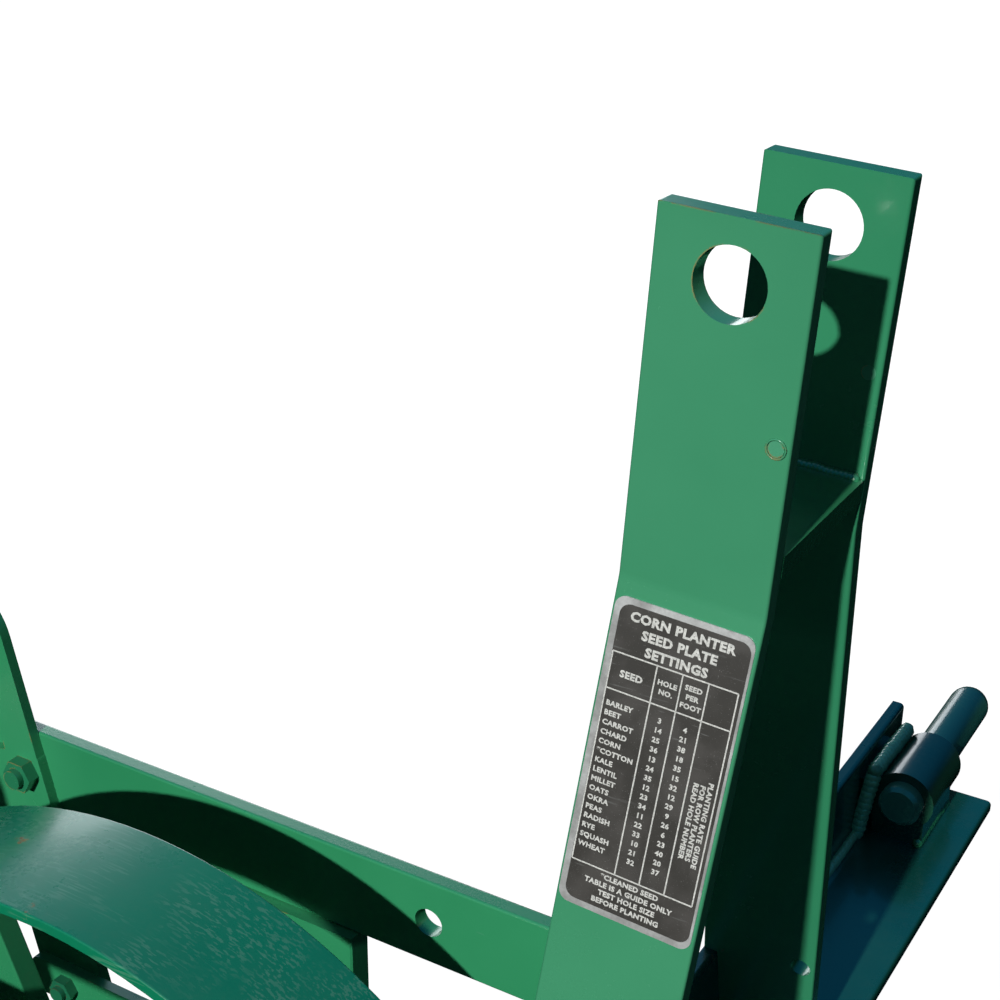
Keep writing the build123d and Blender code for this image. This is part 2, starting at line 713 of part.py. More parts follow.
# idler wheel on a pivoting arm, bolted to the outside of the right rail; it runs on
# the back of the belt's lower run
low_x, low_z = d[0] + IDLER_SHARE * (e[0] - d[0]), d[1] + IDLER_SHARE * (e[1] - d[1])
idler_out = IDLER_R + BELT_H / 2 + SLIP
idler_x = low_x + idler_out * cos(lower)
idler_z = low_z + idler_out * sin(lower)
arm_x = idler_x - IDLER_SET_BACK
arm_z = rail_mid
arm_y = -rail_out - SLIP
arm_span = hypot(idler_x - arm_x, idler_z - arm_z)
with BuildPart() as idler_arm:
    with BuildSketch(side_plane(arm_y)):
        tilt = atan2(idler_z - arm_z, idler_x - arm_x)
        with Locations(Location(((arm_x + idler_x) / 2, (arm_z + idler_z) / 2), degrees(tilt))):
            SlotCenterToCenter(arm_span, IDLER_ARM_W)
        with Locations((arm_x, arm_z)):
            Circle(IDLER_BOLT_R + RUN, mode=Mode.SUBTRACT)
        with Locations((idler_x, idler_z)):
            Circle(IDLER_BOLT_R, mode=Mode.SUBTRACT)
    extrude(amount=IDLER_ARM_T)
idler_arm.part.label = "idler_arm"
export_step(idler_arm.part, "parts/idler_arm.step")

with BuildPart() as idler:
    with BuildSketch(Plane(origin=(idler_x, -BELT_Y, idler_z), x_dir=(1, 0, 0), z_dir=(0, 0, 1))):
        with BuildLine():
            w = IDLER_W / 2
            web = w - IDLER_DISH
            inside = IDLER_R - IDLER_WALL
            Polyline(
                (IDLER_BOLT_R + RUN, -w),
                (IDLER_HUB_R, -w),
                (IDLER_HUB_R, -web),
                (inside, -web),
                (inside, -w),
                (IDLER_R, -w),
                (IDLER_R, w),
                (inside, w),
                (inside, web),
                (IDLER_HUB_R, web),
                (IDLER_HUB_R, w),
                (IDLER_BOLT_R + RUN, w),
                close=True,
            )
        make_face()
    revolve(axis=Axis((idler_x, -BELT_Y, idler_z), (0, 1, 0)))
idler.part.label = "idler_wheel"
export_step(idler.part, "parts/idler_wheel.step")

with BuildPart() as idler_bolt:
    nut_y = -BELT_Y - IDLER_W / 2 - SLIP
    with BuildSketch(side_plane(nut_y, idler_x, idler_z)):
        RegularPolygon(1.75 * IDLER_BOLT_R, 6)
    extrude(amount=2 * IDLER_BOLT_R * HEAD)
    with BuildSketch(side_plane(nut_y, idler_x, idler_z)):
        Circle(IDLER_BOLT_R)
    extrude(amount=-(arm_y - nut_y))
    with BuildSketch(side_plane(-BELT_Y + IDLER_W / 2 + SLIP, idler_x, idler_z)):
        Circle(IDLER_BOLT_R + SPACER_WALL)
    extrude(amount=-(arm_y - IDLER_ARM_T + BELT_Y - IDLER_W / 2 - SLIP))
idler_bolt.part.label = "idler_axle_bolt"
export_step(idler_bolt.part, "parts/idler_axle_bolt.step")

# ---------------------------------------------------------------- hopper base casting
base_floor_top = RAIL_TOP + BASE_FLANGE_T
base_wall_r = HOPPER_R + BASE_WALL_T
boss_y = rail_out + 4
with BuildPart() as base:
    with BuildSketch(Plane.XY.offset(RAIL_TOP)):
        with Locations((hopper_x, 0)):
            RectangleRounded(BASE_FLANGE_X + 2 * BASE_WALL_T, 2 * rail_out, 8)
    extrude(amount=BASE_FLANGE_T)
    with BuildSketch(Plane.XY.offset(base_floor_top)):
        with Locations((hopper_x, 0)):
            Circle(base_wall_r)
            Circle(HOPPER_R + RUN, mode=Mode.SUBTRACT)
    extrude(amount=BASE_WALL_TOP - base_floor_top)
    # bosses for the agitator shaft
    for s in (1, -1):
        with BuildSketch(side_plane(s * (HOPPER_R + 3), hopper_x, AGITATOR_Z)):
            Circle(SHAFT_BOSS_R)
        extrude(amount=-s * (boss_y - HOPPER_R - 3))
        with BuildSketch(Plane.XY.offset(base_floor_top - 1)):
            with Locations((hopper_x, s * (base_wall_r + 8))):
                Rectangle(12, 22)
        extrude(amount=AGITATOR_Z - base_floor_top - 8)
    # ears that bolt inside the rails
    for s in (1, -1):
        with Locations((hopper_x, s * (rail_in - BASE_EAR_T / 2), rail_mid + 6)):
            Box(BASE_EAR_W, BASE_EAR_T, RAIL_H - 12)
    # round pocket for the seed plate, open below
    with BuildSketch(Plane.XY.offset(RAIL_TOP - RAIL_H)):
        with Locations((hopper_x, 0)):
            Circle(PLATE_R + POCKET_GAP)
    extrude(amount=RAIL_H + BASE_FLANGE_T - BASE_FLOOR_T, mode=Mode.SUBTRACT)
    with BuildSketch(Plane.XY.offset(RAIL_TOP)):
        with Locations((outlet_x, 0)):
            Circle(OUTLET_R)
        with Locations((hopper_x, 0)):
            Circle(CENTRE_BOLT_R)
    extrude(amount=BASE_FLANGE_T, mode=Mode.SUBTRACT)
    with BuildSketch(side_plane(0, hopper_x, AGITATOR_Z)):
        Circle(AGITATOR_R + RUN)
    extrude(amount=BELT_Y, both=True, mode=Mode.SUBTRACT)
    for x in base_bolt_x:
        with BuildSketch(side_plane(0, x, rail_mid)):
            Circle(M12_R)
        extrude(amount=BELT_Y, both=True, mode=Mode.SUBTRACT)
base.part.label = "hopper_base"
export_step(base.part, "parts/hopper_base.step")

with BuildPart() as shell:
    with BuildSketch(Plane.XY.offset(base_floor_top)):
        with Locations((hopper_x, 0)):
            Circle(HOPPER_R)
            Circle(HOPPER_R - SHEET_T, mode=Mode.SUBTRACT)
    extrude(amount=HOPPER_TOP - base_floor_top)
    with BuildSketch(side_plane(0, hopper_x, AGITATOR_Z)):
        Circle(AGITATOR_R + 2)
    extrude(amount=BELT_Y, both=True, mode=Mode.SUBTRACT)
shell.part.label = "hopper_shell"
export_step(shell.part, "parts/hopper_shell.step")

# band around the shell with a flat ear on each side for the brace bolts
brace_in = rail_in - BRACE_T
with BuildPart() as band:
    with BuildSketch(Plane.XY.offset(BRACE_END_Z - BAND_H / 2)):
        with Locations((hopper_x, 0)):
            Circle(HOPPER_R + BAND_T)
            with Locations((0, HOPPER_R), (0, -HOPPER_R)):
                Rectangle(BAND_H, 2 * (brace_in - HOPPER_R))
            Circle(HOPPER_R, mode=Mode.SUBTRACT)
    extrude(amount=BAND_H)
band.part.label = "hopper_band"
export_step(band.part, "parts/hopper_band.step")

strut_hole = (brace_x + (rail_mid - TIE_Z) * tan(radians(BRACE_LEAN)) - BRACE_W / 2, TIE_Z)
for side, s in SIDES:
    # one bent flat bar: its wide foot hangs inside the rail, its upper end leans back
    # and then runs to the band
    with BuildPart() as brace:
        slope = tan(radians(BRACE_LEAN))
        bend = (brace_x - (BRACE_BEND_Z - rail_mid) * slope, BRACE_BEND_Z)
        foot_l = rail_mid - STRUT_BOTTOM
        foot_mid = (brace_x + foot_l / 2 * slope - (STRUT_W - BRACE_W) / 2, rail_mid - foot_l / 2)
        with BuildSketch(side_plane(s * rail_in)):
            with BuildLine() as route:
                FilletPolyline((brace_x, rail_mid), bend, (hopper_x, BRACE_END_Z), radius=30)
            trace(lines=route.line, line_width=BRACE_W)
            with Locations((hopper_x, BRACE_END_Z)):
                Circle(BRACE_W / 2)
            with Locations(Location(foot_mid, BRACE_LEAN)):
                RectangleRounded(STRUT_W, foot_l + BRACE_W, 6)
            with Locations((hopper_x, BRACE_END_Z), strut_hole):
                Circle(STRUT_HOLE_R, mode=Mode.SUBTRACT)
            with Locations((brace_x, rail_mid)):
                Circle(M12_R, mode=Mode.SUBTRACT)
        extrude(amount=s * BRACE_T)
    brace.part.label = f"hopper_brace_{side}"
    export_step(brace.part, f"parts/hopper_brace_{side}.step")

# a tie bar runs from each axle hanger back to the foot of the brace
with BuildPart() as ties:
    tie_front = wheel_x - HANGER_BOSS_R
    tie_back = strut_hole[0] - TIE_TAIL
    with BuildSketch(side_plane(rail_in - BRACE_T)):
        with Locations(((tie_front + tie_back) / 2, TIE_Z)):
            RectangleRounded(tie_front - tie_back, TIE_W, 5)
        with Locations(strut_hole):
            Circle(STRUT_HOLE_R, mode=Mode.SUBTRACT)
    extrude(amount=TIE_T)
    mirror(about=Plane.XZ)
ties.part.label = "hanger_ties"
export_step(ties.part, "parts/hanger_ties.step")

# ---------------------------------------------------------------- lid
hinge_back = HOPPER_R + HINGE_BACK
hinge_z = HOPPER_TOP - HINGE_DOWN
lid_r = HOPPER_R + 2 * SLIP + SHEET_T + 0.4
hinge_x = hopper_x - hinge_back
with BuildPart() as lid:
    with BuildSketch(Plane.XY.offset(HOPPER_TOP + SLIP)):
        with Locations((hopper_x, 0)):
            Circle(lid_r)
    extrude(amount=SHEET_T)
    fillet(edges().sort_by(Axis.Z)[-1], 1.2)
    with BuildSketch(Plane.XY.offset(HOPPER_TOP + SLIP)):
        with Locations((hopper_x, 0)):
            Circle(lid_r)
            Circle(lid_r - SHEET_T, mode=Mode.SUBTRACT)
    extrude(amount=-LID_SKIRT)
    # the skirt is cut away at the back, so that it clears the shell as the lid opens
    with Locations((hinge_x, 0, HOPPER_TOP + SLIP - LID_SKIRT / 2)):
        Box(2 * (hinge_back - SKIRT_FROM), 3 * HOPPER_R, LID_SKIRT, mode=Mode.SUBTRACT)
    # pressed rings that stiffen the top
    with BuildSketch(Plane.XY.offset(HOPPER_TOP + SLIP + SHEET_T)):
        with Locations((hopper_x, 0)):
            Circle(LID_RING_R[1])
            Circle(LID_RING_R[0], mode=Mode.SUBTRACT)
    extrude(amount=LID_RING_T)
    # centre knuckle of the hinge and its strap
    with BuildSketch(side_plane(0, hinge_x, hinge_z)):
        Circle(HINGE_R)
        with Locations((0, (HOPPER_TOP + SLIP + SHEET_T - hinge_z) / 2)):
            Rectangle(2 * HINGE_R, HOPPER_TOP + SLIP + SHEET_T - hinge_z)
        Circle(HINGE_PIN_R + RUN, mode=Mode.SUBTRACT)
    extrude(amount=KNUCKLE_L / 2, both=True)
    strap_l = hinge_back - HOPPER_R + SPACER_WALL + 11
    with Locations((hinge_x + strap_l / 2, 0, HOPPER_TOP + SLIP + SHEET_T / 2)):
        Box(strap_l, KNUCKLE_L, SHEET_T)
lid.part.label = "hopper_lid"
export_step(lid.part, "parts/hopper_lid.step")

with BuildPart() as hinge:
    # outer knuckles on a plate that is riveted to the back of the shell
    for s in (1, -1):
        with BuildSketch(side_plane(s * (KNUCKLE_L / 2 + SLIP), hinge_x, hinge_z)):
            Circle(HINGE_R)
            with Locations(((hinge_back - HOPPER_R) / 2, -HINGE_R / 2)):
                Rectangle(hinge_back - HOPPER_R + 2, HINGE_R)
            Circle(HINGE_PIN_R, mode=Mode.SUBTRACT)
        extrude(amount=-s * KNUCKLE_L / 2)
    leaf_z = hinge_z - HINGE_R - HINGE_LEAF_H / 2
    with Locations((hinge_x + HINGE_R + HINGE_LEAF_T / 2, 0, leaf_z)):
        Box(HINGE_LEAF_T, 2 * (KNUCKLE_L + SLIP), HINGE_LEAF_H)
    with BuildSketch(Plane.XY.offset(leaf_z - HINGE_LEAF_H)):
        with Locations((hopper_x, 0)):
            Circle(HOPPER_R)
    extrude(amount=2 * HINGE_LEAF_H, mode=Mode.SUBTRACT)
hinge.part.label = "lid_hinge"
export_step(hinge.part, "parts/lid_hinge.step")

with BuildPart() as hinge_pin:
    pin_half = KNUCKLE_L + 2
    with BuildSketch(side_plane(pin_half, hinge_x, hinge_z)):
        Circle(HINGE_PIN_R)
    extrude(amount=2 * pin_half)
hinge_pin.part.label = "lid_hinge_pin"
export_step(hinge_pin.part, "parts/lid_hinge_pin.step")

with BuildPart() as knob:
    knob_z = HOPPER_TOP + SLIP + SHEET_T
    with BuildSketch(Plane.XZ):
        with BuildLine():
            neck = (KNOB_NECK_R, 0.37 * KNOB_H)
            waist = (KNOB_R, 0.6 * KNOB_H)
            shoulder = (0.87 * KNOB_R, 0.87 * KNOB_H)
            Polyline((0, 0), (KNOB_FOOT_R, 0), (KNOB_FOOT_R, 2), (KNOB_NECK_R, 5), neck)
            Spline(neck, waist, shoulder, (0, KNOB_H), tangents=((0.3, 1), (-1, 0)))
            Line((0, KNOB_H), (0, 0))
        make_face()
    revolve(axis=Axis.Z)
lid_knob = knob.part.moved(Location((hopper_x, 0, knob_z)))
lid_knob.label = "lid_knob"
export_step(lid_knob, "parts/lid_knob.step")

# ---------------------------------------------------------------- agitator
shaft_left = boss_y + SLIP + COLLAR_W + AXLE_END
with BuildPart() as agitator_shaft:
    with BuildSketch(side_plane(shaft_left, hopper_x, AGITATOR_Z)):
        Circle(AGITATOR_R)
    extrude(amount=shaft_left + BELT_Y + SHEAVE_W / 2 + AXLE_END)
    chamfer(edges(), 1)
agitator_shaft.part.label = "agitator_shaft"
export_step(agitator_shaft.part, "parts/agitator_shaft.step")

with BuildPart() as agitator_collar:
    with BuildSketch(side_plane(boss_y + SLIP, hopper_x, AGITATOR_Z)):
        Circle(AGITATOR_R + AXLE_END)
        Circle(AGITATOR_R, mode=Mode.SUBTRACT)
    extrude(amount=-COLLAR_W)
agitator_collar.part.label = "agitator_collar"
export_step(agitator_collar.part, "parts/agitator_collar.step")

# three hubs with bent-rod fingers that stir the seed over the floor
with BuildPart() as fingers:
    finger_reach = AGITATOR_Z - base_floor_top - CENTRE_HEAD_H - FINGER_GAP
    finger_root = FINGER_HUB_R - 3
    for y in FINGER_ROWS:
        with BuildSketch(side_plane(y, hopper_x, AGITATOR_Z)):
            Circle(FINGER_HUB_R)
            Circle(AGITATOR_R, mode=Mode.SUBTRACT)
        extrude(amount=FINGER_HUB_L / 2, both=True)
        for i in range(4):
            angle = radians(45 + 90 * i)
            finger_dir = (cos(angle), 0, sin(angle))
            root_x = hopper_x + finger_root * cos(angle)
            root_z = AGITATOR_Z + finger_root * sin(angle)
            with BuildSketch(Plane(origin=(root_x, y, root_z), z_dir=finger_dir)):
                Circle(FINGER_R)
            extrude(amount=finger_reach - finger_root)
fingers.part.label = "agitator_fingers"
export_step(fingers.part, "parts/agitator_fingers.step")

# ---------------------------------------------------------------- seed plate
plate_top = RAIL_TOP + BASE_FLANGE_T - BASE_FLOOR_T - SLIP
with BuildPart() as seed_plate:
    with BuildSketch(Plane.XY.offset(plate_top)):
        with Locations((hopper_x, 0)):
            Circle(PLATE_R)
            Circle(CENTRE_BOLT_R + RUN, mode=Mode.SUBTRACT)
        for i in range(PLATE_HOLES):
            angle = radians(i * 360 / PLATE_HOLES)
            r = PLATE_HOLE_R + PLATE_HOLE_STEP * i
            with Locations((hopper_x + OUTLET_OFFSET * cos(angle), OUTLET_OFFSET * sin(angle))):
                Circle(r, mode=Mode.SUBTRACT)
    extrude(amount=-PLATE_T)
seed_plate.part.label = "seed_plate"
export_step(seed_plate.part, "parts/seed_plate.step")

with BuildPart() as centre_bolt:
    with BuildSketch(Plane.XY.offset(base_floor_top)):
        with Locations((hopper_x, 0)):
            Circle(CENTRE_HEAD_R)
    extrude(amount=CENTRE_HEAD_H)
    fillet(edges().sort_by(Axis.Z)[-1], CENTRE_HEAD_H - 1.5)
    with BuildSketch(Plane.XY.offset(base_floor_top)):
        with Locations((hopper_x, 0)):
            Circle(CENTRE_BOLT_R)
    extrude(amount=-(BASE_FLANGE_T + 16))
centre_bolt.part.label = "plate_centre_bolt"
export_step(centre_bolt.part, "parts/plate_centre_bolt.step")

nut_top = plate_top - PLATE_T - SLIP
with BuildPart() as wing_nut:
    with BuildSketch(Plane.XY.offset(nut_top)):
        with Locations((hopper_x, 0)):
            Circle(WING_HUB_R)
    extrude(amount=-WING_HUB_H)
    for s in (1, -1):
        wing_plane = side_plane(0, hopper_x, nut_top - WING_R[1]).offset(-WING_T / 2)
        with BuildSketch(wing_plane):
            with Locations(Location((s * (WING_HUB_R + 2), -3), s * 30)):
                Ellipse(*WING_R)
        extrude(amount=WING_T)
    with BuildSketch(Plane.XY.offset(nut_top)):
        with Locations((hopper_x, 0)):
            Circle(CENTRE_BOLT_R)
    extrude(amount=-3 * WING_HUB_H, mode=Mode.SUBTRACT)
wing_nut.part.label = "plate_wing_nut"
export_step(wing_nut.part, "parts/plate_wing_nut.step")

# ---------------------------------------------------------------- shut-off gate and funnel
gate_top = RAIL_TOP - SLIP
gate_pivot = (outlet_x + BOSS_AHEAD, BOSS_SIDE)
lever_dir = (cos(radians(LEVER_TURN)), sin(radians(LEVER_TURN)))
lever_out = (LEVER_L - LEVER_W / 2) / 2 - 1.5
lever_mid = (gate_pivot[0] + lever_out * lever_dir[0], gate_pivot[1] + lever_out * lever_dir[1])
knob_out = LEVER_L - 2 * LEVER_KNOB_R
lever_end = (gate_pivot[0] + knob_out * lever_dir[0], gate_pivot[1] + knob_out * lever_dir[1])
with BuildPart() as gate:
    with BuildSketch(Plane.XY.offset(gate_top)):
        with Locations((outlet_x, 0)):
            Circle(GATE_R)
        with Locations(gate_pivot):
            Circle(PIVOT_BOSS_R + 6)
        mid_x, mid_y = outlet_x + BOSS_AHEAD / 2, BOSS_SIDE / 2
        blade_turn = degrees(atan2(BOSS_SIDE, BOSS_AHEAD))
        with Locations(Location((mid_x, mid_y), blade_turn)):
            Rectangle(hypot(BOSS_AHEAD, BOSS_SIDE), GATE_ARM_W)
        with Locations(Location(lever_mid, LEVER_TURN)):
            SlotOverall(LEVER_L, LEVER_W)
        with Locations(gate_pivot):
            Circle(PIVOT_BOSS_R + RUN, mode=Mode.SUBTRACT)
    extrude(amount=-GATE_T)
    # turned knob riveted to the lever's end
    with BuildSketch(Plane.XY.offset(gate_top - GATE_T)):
        with Locations(lever_end):
            Circle(LEVER_KNOB_R)
    extrude(amount=-LEVER_KNOB_H)
    fillet(edges().sort_by(Axis.Z)[0], LEVER_KNOB_R / 2)
gate.part.label = "shut_off_gate"
export_step(gate.part, "parts/shut_off_gate.step")

funnel_top = gate_top - GATE_T - SLIP
funnel_flange_low = funnel_top - FUNNEL_FLANGE_T
funnel_low = funnel_flange_low - FUNNEL_H
socket_top = funnel_low + FUNNEL_SOCKET
tube_inner = TUBE_R - TUBE_WALL
funnel_bosses = (
    (outlet_x + BOSS_AHEAD, BOSS_SIDE),
    (outlet_x - BOSS_AHEAD + 4, BOSS_SIDE),
    (outlet_x - BOSS_AHEAD + 4, -BOSS_SIDE),
)
with BuildPart() as funnel:
    with BuildSketch(Plane.XY.offset(funnel_top)):
        with Locations((outlet_x + 2, 0)):
            RectangleRounded(FUNNEL_FLANGE_X, 2 * BOSS_SIDE + 26, 8)
    extrude(amount=-FUNNEL_FLANGE_T)
    with BuildSketch(Plane.XY.offset(funnel_flange_low)):
        with Locations((outlet_x, 0)):
            Circle(FUNNEL_R)
    with BuildSketch(Plane.XY.offset(funnel_low)):
        with Locations((outlet_x, 0)):
            Circle(TUBE_R + 3)
    loft()
    # bosses up to the casting; the gate turns on the one ahead and to the left
    for bx, by in funnel_bosses:
        with BuildSketch(Plane.XY.offset(funnel_top)):
            with Locations((bx, by)):
                Circle(PIVOT_BOSS_R)
        extrude(amount=RAIL_TOP - funnel_top)
    with BuildSketch(Plane.XY.offset(funnel_top)):
        with Locations((outlet_x, 0)):
            Circle(FUNNEL_R - FUNNEL_WALL)
    with BuildSketch(Plane.XY.offset(socket_top)):
        with Locations((outlet_x, 0)):
            Circle(tube_inner)
    loft(mode=Mode.SUBTRACT)
    with BuildSketch(Plane.XY.offset(funnel_low)):
        with Locations((outlet_x, 0)):
            Circle(TUBE_R)
    extrude(amount=FUNNEL_SOCKET, mode=Mode.SUBTRACT)
funnel.part.label = "seed_funnel"
export_step(funnel.part, "parts/seed_funnel.step")

with BuildPart() as seed_tube:
    with BuildSketch(Plane.XY.offset(socket_top)):
        with Locations((outlet_x, 0)):
            Circle(TUBE_R)
            Circle(tube_inner, mode=Mode.SUBTRACT)
    extrude(amount=-(socket_top - TUBE_BOTTOM))
seed_tube.part.label = "seed_tube"
export_step(seed_tube.part, "parts/seed_tube.step")

# ---------------------------------------------------------------- opener
clamp_front = front_tube_x - TUBE_SQ / 2
shank_x = clamp_front - CLAMP_X / 2
with BuildPart() as clamp:
    with Locations((shank_x, 0, tube_mid)):
        Box(CLAMP_X, CLAMP_Y, TUBE_SQ)
    fillet(edges().filter_by(Axis.Z), 4)
    with Locations((shank_x, 0, tube_mid)):
        Box(SHANK_X + 2 * SLIP, SHANK_Y + 2 * SLIP, TUBE_SQ, mode=Mode.SUBTRACT)
    with BuildSketch(side_plane(-CLAMP_Y / 2, shank_x, tube_mid)):
        Circle(M12_R)
    extrude(amount=-(CLAMP_Y - SHANK_Y) / 2, mode=Mode.SUBTRACT)
clamp.part.label = "opener_clamp"
export_step(clamp.part, "parts/opener_clamp.step")

with BuildPart() as set_screw:
    with BuildSketch(side_plane(-CLAMP_Y / 2, shank_x, tube_mid)):
        RegularPolygon(1.6 * M12_R, 4)
    extrude(amount=2 * M12_R)
    with BuildSketch(side_plane(-CLAMP_Y / 2, shank_x, tube_mid)):
        Circle(M12_R)
    extrude(amount=-((CLAMP_Y - SHANK_Y) / 2 - SLIP / 2))
set_screw.part.label = "opener_set_screw"
export_step(set_screw.part, "parts/opener_set_screw.step")

with BuildPart() as shank:
    shank_foot = SHOE_BOTTOM + SHOE_FLOOR
    with Locations((shank_x, 0, (SHANK_TOP + shank_foot) / 2)):
        Box(SHANK_X, SHANK_Y, SHANK_TOP - shank_foot)
    fillet(edges().filter_by(Axis.Z), EASE)
    for z in SHOE_BOLT_Z:
        with BuildSketch(side_plane(0, shank_x, z)):
            Circle(SHOE_BOLT_R)
        extrude(amount=SHANK_Y, both=True, mode=Mode.SUBTRACT)
shank.part.label = "opener_shank"
export_step(shank.part, "parts/opener_shank.step")

# the shoe: a sharp keel ahead of the shank and two side wings that keep the furrow
# open while the seed drops between them
shoe_x = shank_x + SHANK_X / 2
tail_x = MAST_X - SHOE_TAIL_BACK
wing = SHOE_INNER / 2 + SHOE_WALL
with BuildPart() as shoe:
    with BuildSketch(Plane.XY.offset(SHOE_BOTTOM)):
        with BuildLine():
            Polyline(
                (shoe_x + SHOE_NOSE, 0),
                (shoe_x - SHOE_CHEEK, wing),
                (tail_x, wing),
                (tail_x, wing - SHOE_WALL),
                (shoe_x - SHOE_CHEEK - 4, wing - SHOE_WALL),
                (shoe_x - SHOE_CHEEK - 4, -wing + SHOE_WALL),
                (tail_x, -wing + SHOE_WALL),
                (tail_x, -wing),
                (shoe_x - SHOE_CHEEK, -wing),
                close=True,
            )
        make_face()
    extrude(amount=SHOE_TOP - SHOE_BOTTOM)
    # raked nose and swept tail
    with BuildSketch(side_plane(0)):
        with BuildLine():
            Polyline(
                (shoe_x + 60, SHOE_BOTTOM - 20),
                (shoe_x + 60, SHOE_TOP + 20),
                (shoe_x - 6, SHOE_TOP + 20),
                (shoe_x - 2, SHOE_TOP - 20),
                (shoe_x + SHOE_NOSE, SHOE_BOTTOM + 14),
                (shoe_x + SHOE_NOSE - 8, SHOE_BOTTOM - 20),
                close=True,
            )
        make_face()
        with BuildLine():
            Polyline(
                (tail_x - 30, SHOE_TOP + 20),
                (tail_x + 66, SHOE_TOP + 20),
                (tail_x + 40, SHOE_TOP - 40),
                (tail_x, SHOE_BOTTOM + SHOE_FLOOR),
                (tail_x - 30, SHOE_BOTTOM + SHOE_FLOOR),
                close=True,
            )
        make_face()
    extrude(amount=3 * wing, both=True, mode=Mode.SUBTRACT)
    # slot for the shank
    with Locations((shank_x, 0, SHOE_TOP)):
        Box(SHANK_X, SHANK_Y, 2 * (SHOE_TOP - shank_foot), mode=Mode.SUBTRACT)
    for z in SHOE_BOLT_Z:
        with BuildSketch(side_plane(0, shank_x, z)):
            Circle(SHOE_BOLT_R)
        extrude(amount=2 * wing, both=True, mode=Mode.SUBTRACT)
        for s in (1, -1):
            with BuildSketch(side_plane(s * SHOE_SEAT, shank_x, z)):
                Circle(2 * SHOE_BOLT_R)
            extrude(amount=-s * wing, mode=Mode.SUBTRACT)
shoe.part.label = "opener_shoe"
export_step(shoe.part, "parts/opener_shoe.step")

with BuildPart() as shoe_bolts:
    for z in SHOE_BOLT_Z:
        bolt(shank_x, SHOE_SEAT, -SHOE_SEAT, z, SHOE_BOLT_R)
shoe_bolts.part.label = "shoe_bolts"
export_step(shoe_bolts.part, "parts/shoe_bolts.step")

# ---------------------------------------------------------------- covering tines
tube_low = tube_mid - TUBE_SQ / 2
tine_top = tube_low - COVER_T / 2
tine_knee = (rear_tube_x + COVER_REACH, COVER_KNEE_Z)
tine_foot = (rear_tube_x + COVER_FOOT[0], COVER_FOOT[1])
tine_run = hypot(tine_knee[0] - tine_foot[0], tine_knee[1] - tine_foot[1])
tine_dir = ((tine_knee[0] - tine_foot[0]) / tine_run, (tine_knee[1] - tine_foot[1]) / tine_run)
with BuildPart() as tines:
    with BuildSketch(side_plane(COVER_Y + COVER_W / 2)):
        with BuildLine() as tine_line:
            FilletPolyline(
                (rear_tube_x - 17, tine_top),
                (rear_tube_x + 58, tine_top),
                tine_knee,
                tine_foot,
                radius=COVER_BEND_R,
            )
        trace(lines=tine_line.line, line_width=COVER_T)
    extrude(amount=COVER_W)
    with BuildSketch(Plane.XY.offset(tube_low)):
        with Locations((rear_tube_x, COVER_Y)):
            Circle(TINE_BOLT_R)
    extrude(amount=-2 * COVER_T, mode=Mode.SUBTRACT)
    mirror(about=Plane.XZ)
tines.part.label = "covering_tines"
export_step(tines.part, "parts/covering_tines.step")

# each blade's flat heel sits on the back of its tine and its wing turns outwards
with BuildPart() as blades:
    heel_x = tine_foot[0] - COVER_T / 2 * tine_dir[1]
    heel_z = tine_foot[1] + COVER_T / 2 * tine_dir[0]
    drop = BLADE_H * 0.4
    heel_plane = Plane(
        origin=(heel_x - tine_dir[0] * drop, COVER_Y, heel_z - tine_dir[1] * drop),
        x_dir=(0, 1, 0),
        z_dir=(tine_dir[0], 0, tine_dir[1]),
    )
    back = 1 if heel_plane.y_dir.X < 0 else -1
    turn = radians(BLADE_TURN)
    half = COVER_W / 2
    wing_y = BLADE_L * sin(turn) + BLADE_T * cos(turn)
    with BuildSketch(heel_plane):
        with BuildLine():
            Polyline(
                (-half, 0),
                (half, 0),
                (half + BLADE_L * cos(turn), back * BLADE_L * sin(turn)),
                (half + BLADE_L * cos(turn) - BLADE_T * sin(turn), back * wing_y),
                (half - BLADE_T * tan(turn / 2), back * BLADE_T),
                (-half, back * BLADE_T),
                close=True,
            )
        make_face()
    extrude(amount=BLADE_H)
    mirror(about=Plane.XZ)
blades.part.label = "covering_blades"
export_step(blades.part, "parts/covering_blades.step")

# ---------------------------------------------------------------- press wheel
arm_outer = rail_in - SLIP
arm_inner = arm_outer - ARM_T
arm_tilt = degrees(atan2(arm_dir[1], arm_dir[0]))
with BuildPart() as arms:
    with BuildSketch(side_plane(arm_outer)):
        with Locations(Location(((pivot_x + press_x) / 2, (rail_mid + PRESS_R) / 2), arm_tilt)):
            SlotCenterToCenter(press_arm_l, ARM_W)
        with Locations((pivot_x, rail_mid)):
            Circle(ARM_PIVOT_R + RUN, mode=Mode.SUBTRACT)
        with Locations((press_x, PRESS_R)):
            Circle(PRESS_AXLE_R, mode=Mode.SUBTRACT)
    extrude(amount=ARM_T)
    mirror(about=Plane.XZ)
arms.part.label = "press_arms"
export_step(arms.part, "parts/press_arms.step")

with BuildPart() as pivot_bolts:
    for s in (1, -1):
        bolt(pivot_x, s * rail_out, s * (arm_inner - SLIP), rail_mid, ARM_PIVOT_R)
pivot_bolts.part.label = "arm_pivot_bolts"
export_step(pivot_bolts.part, "parts/arm_pivot_bolts.step")

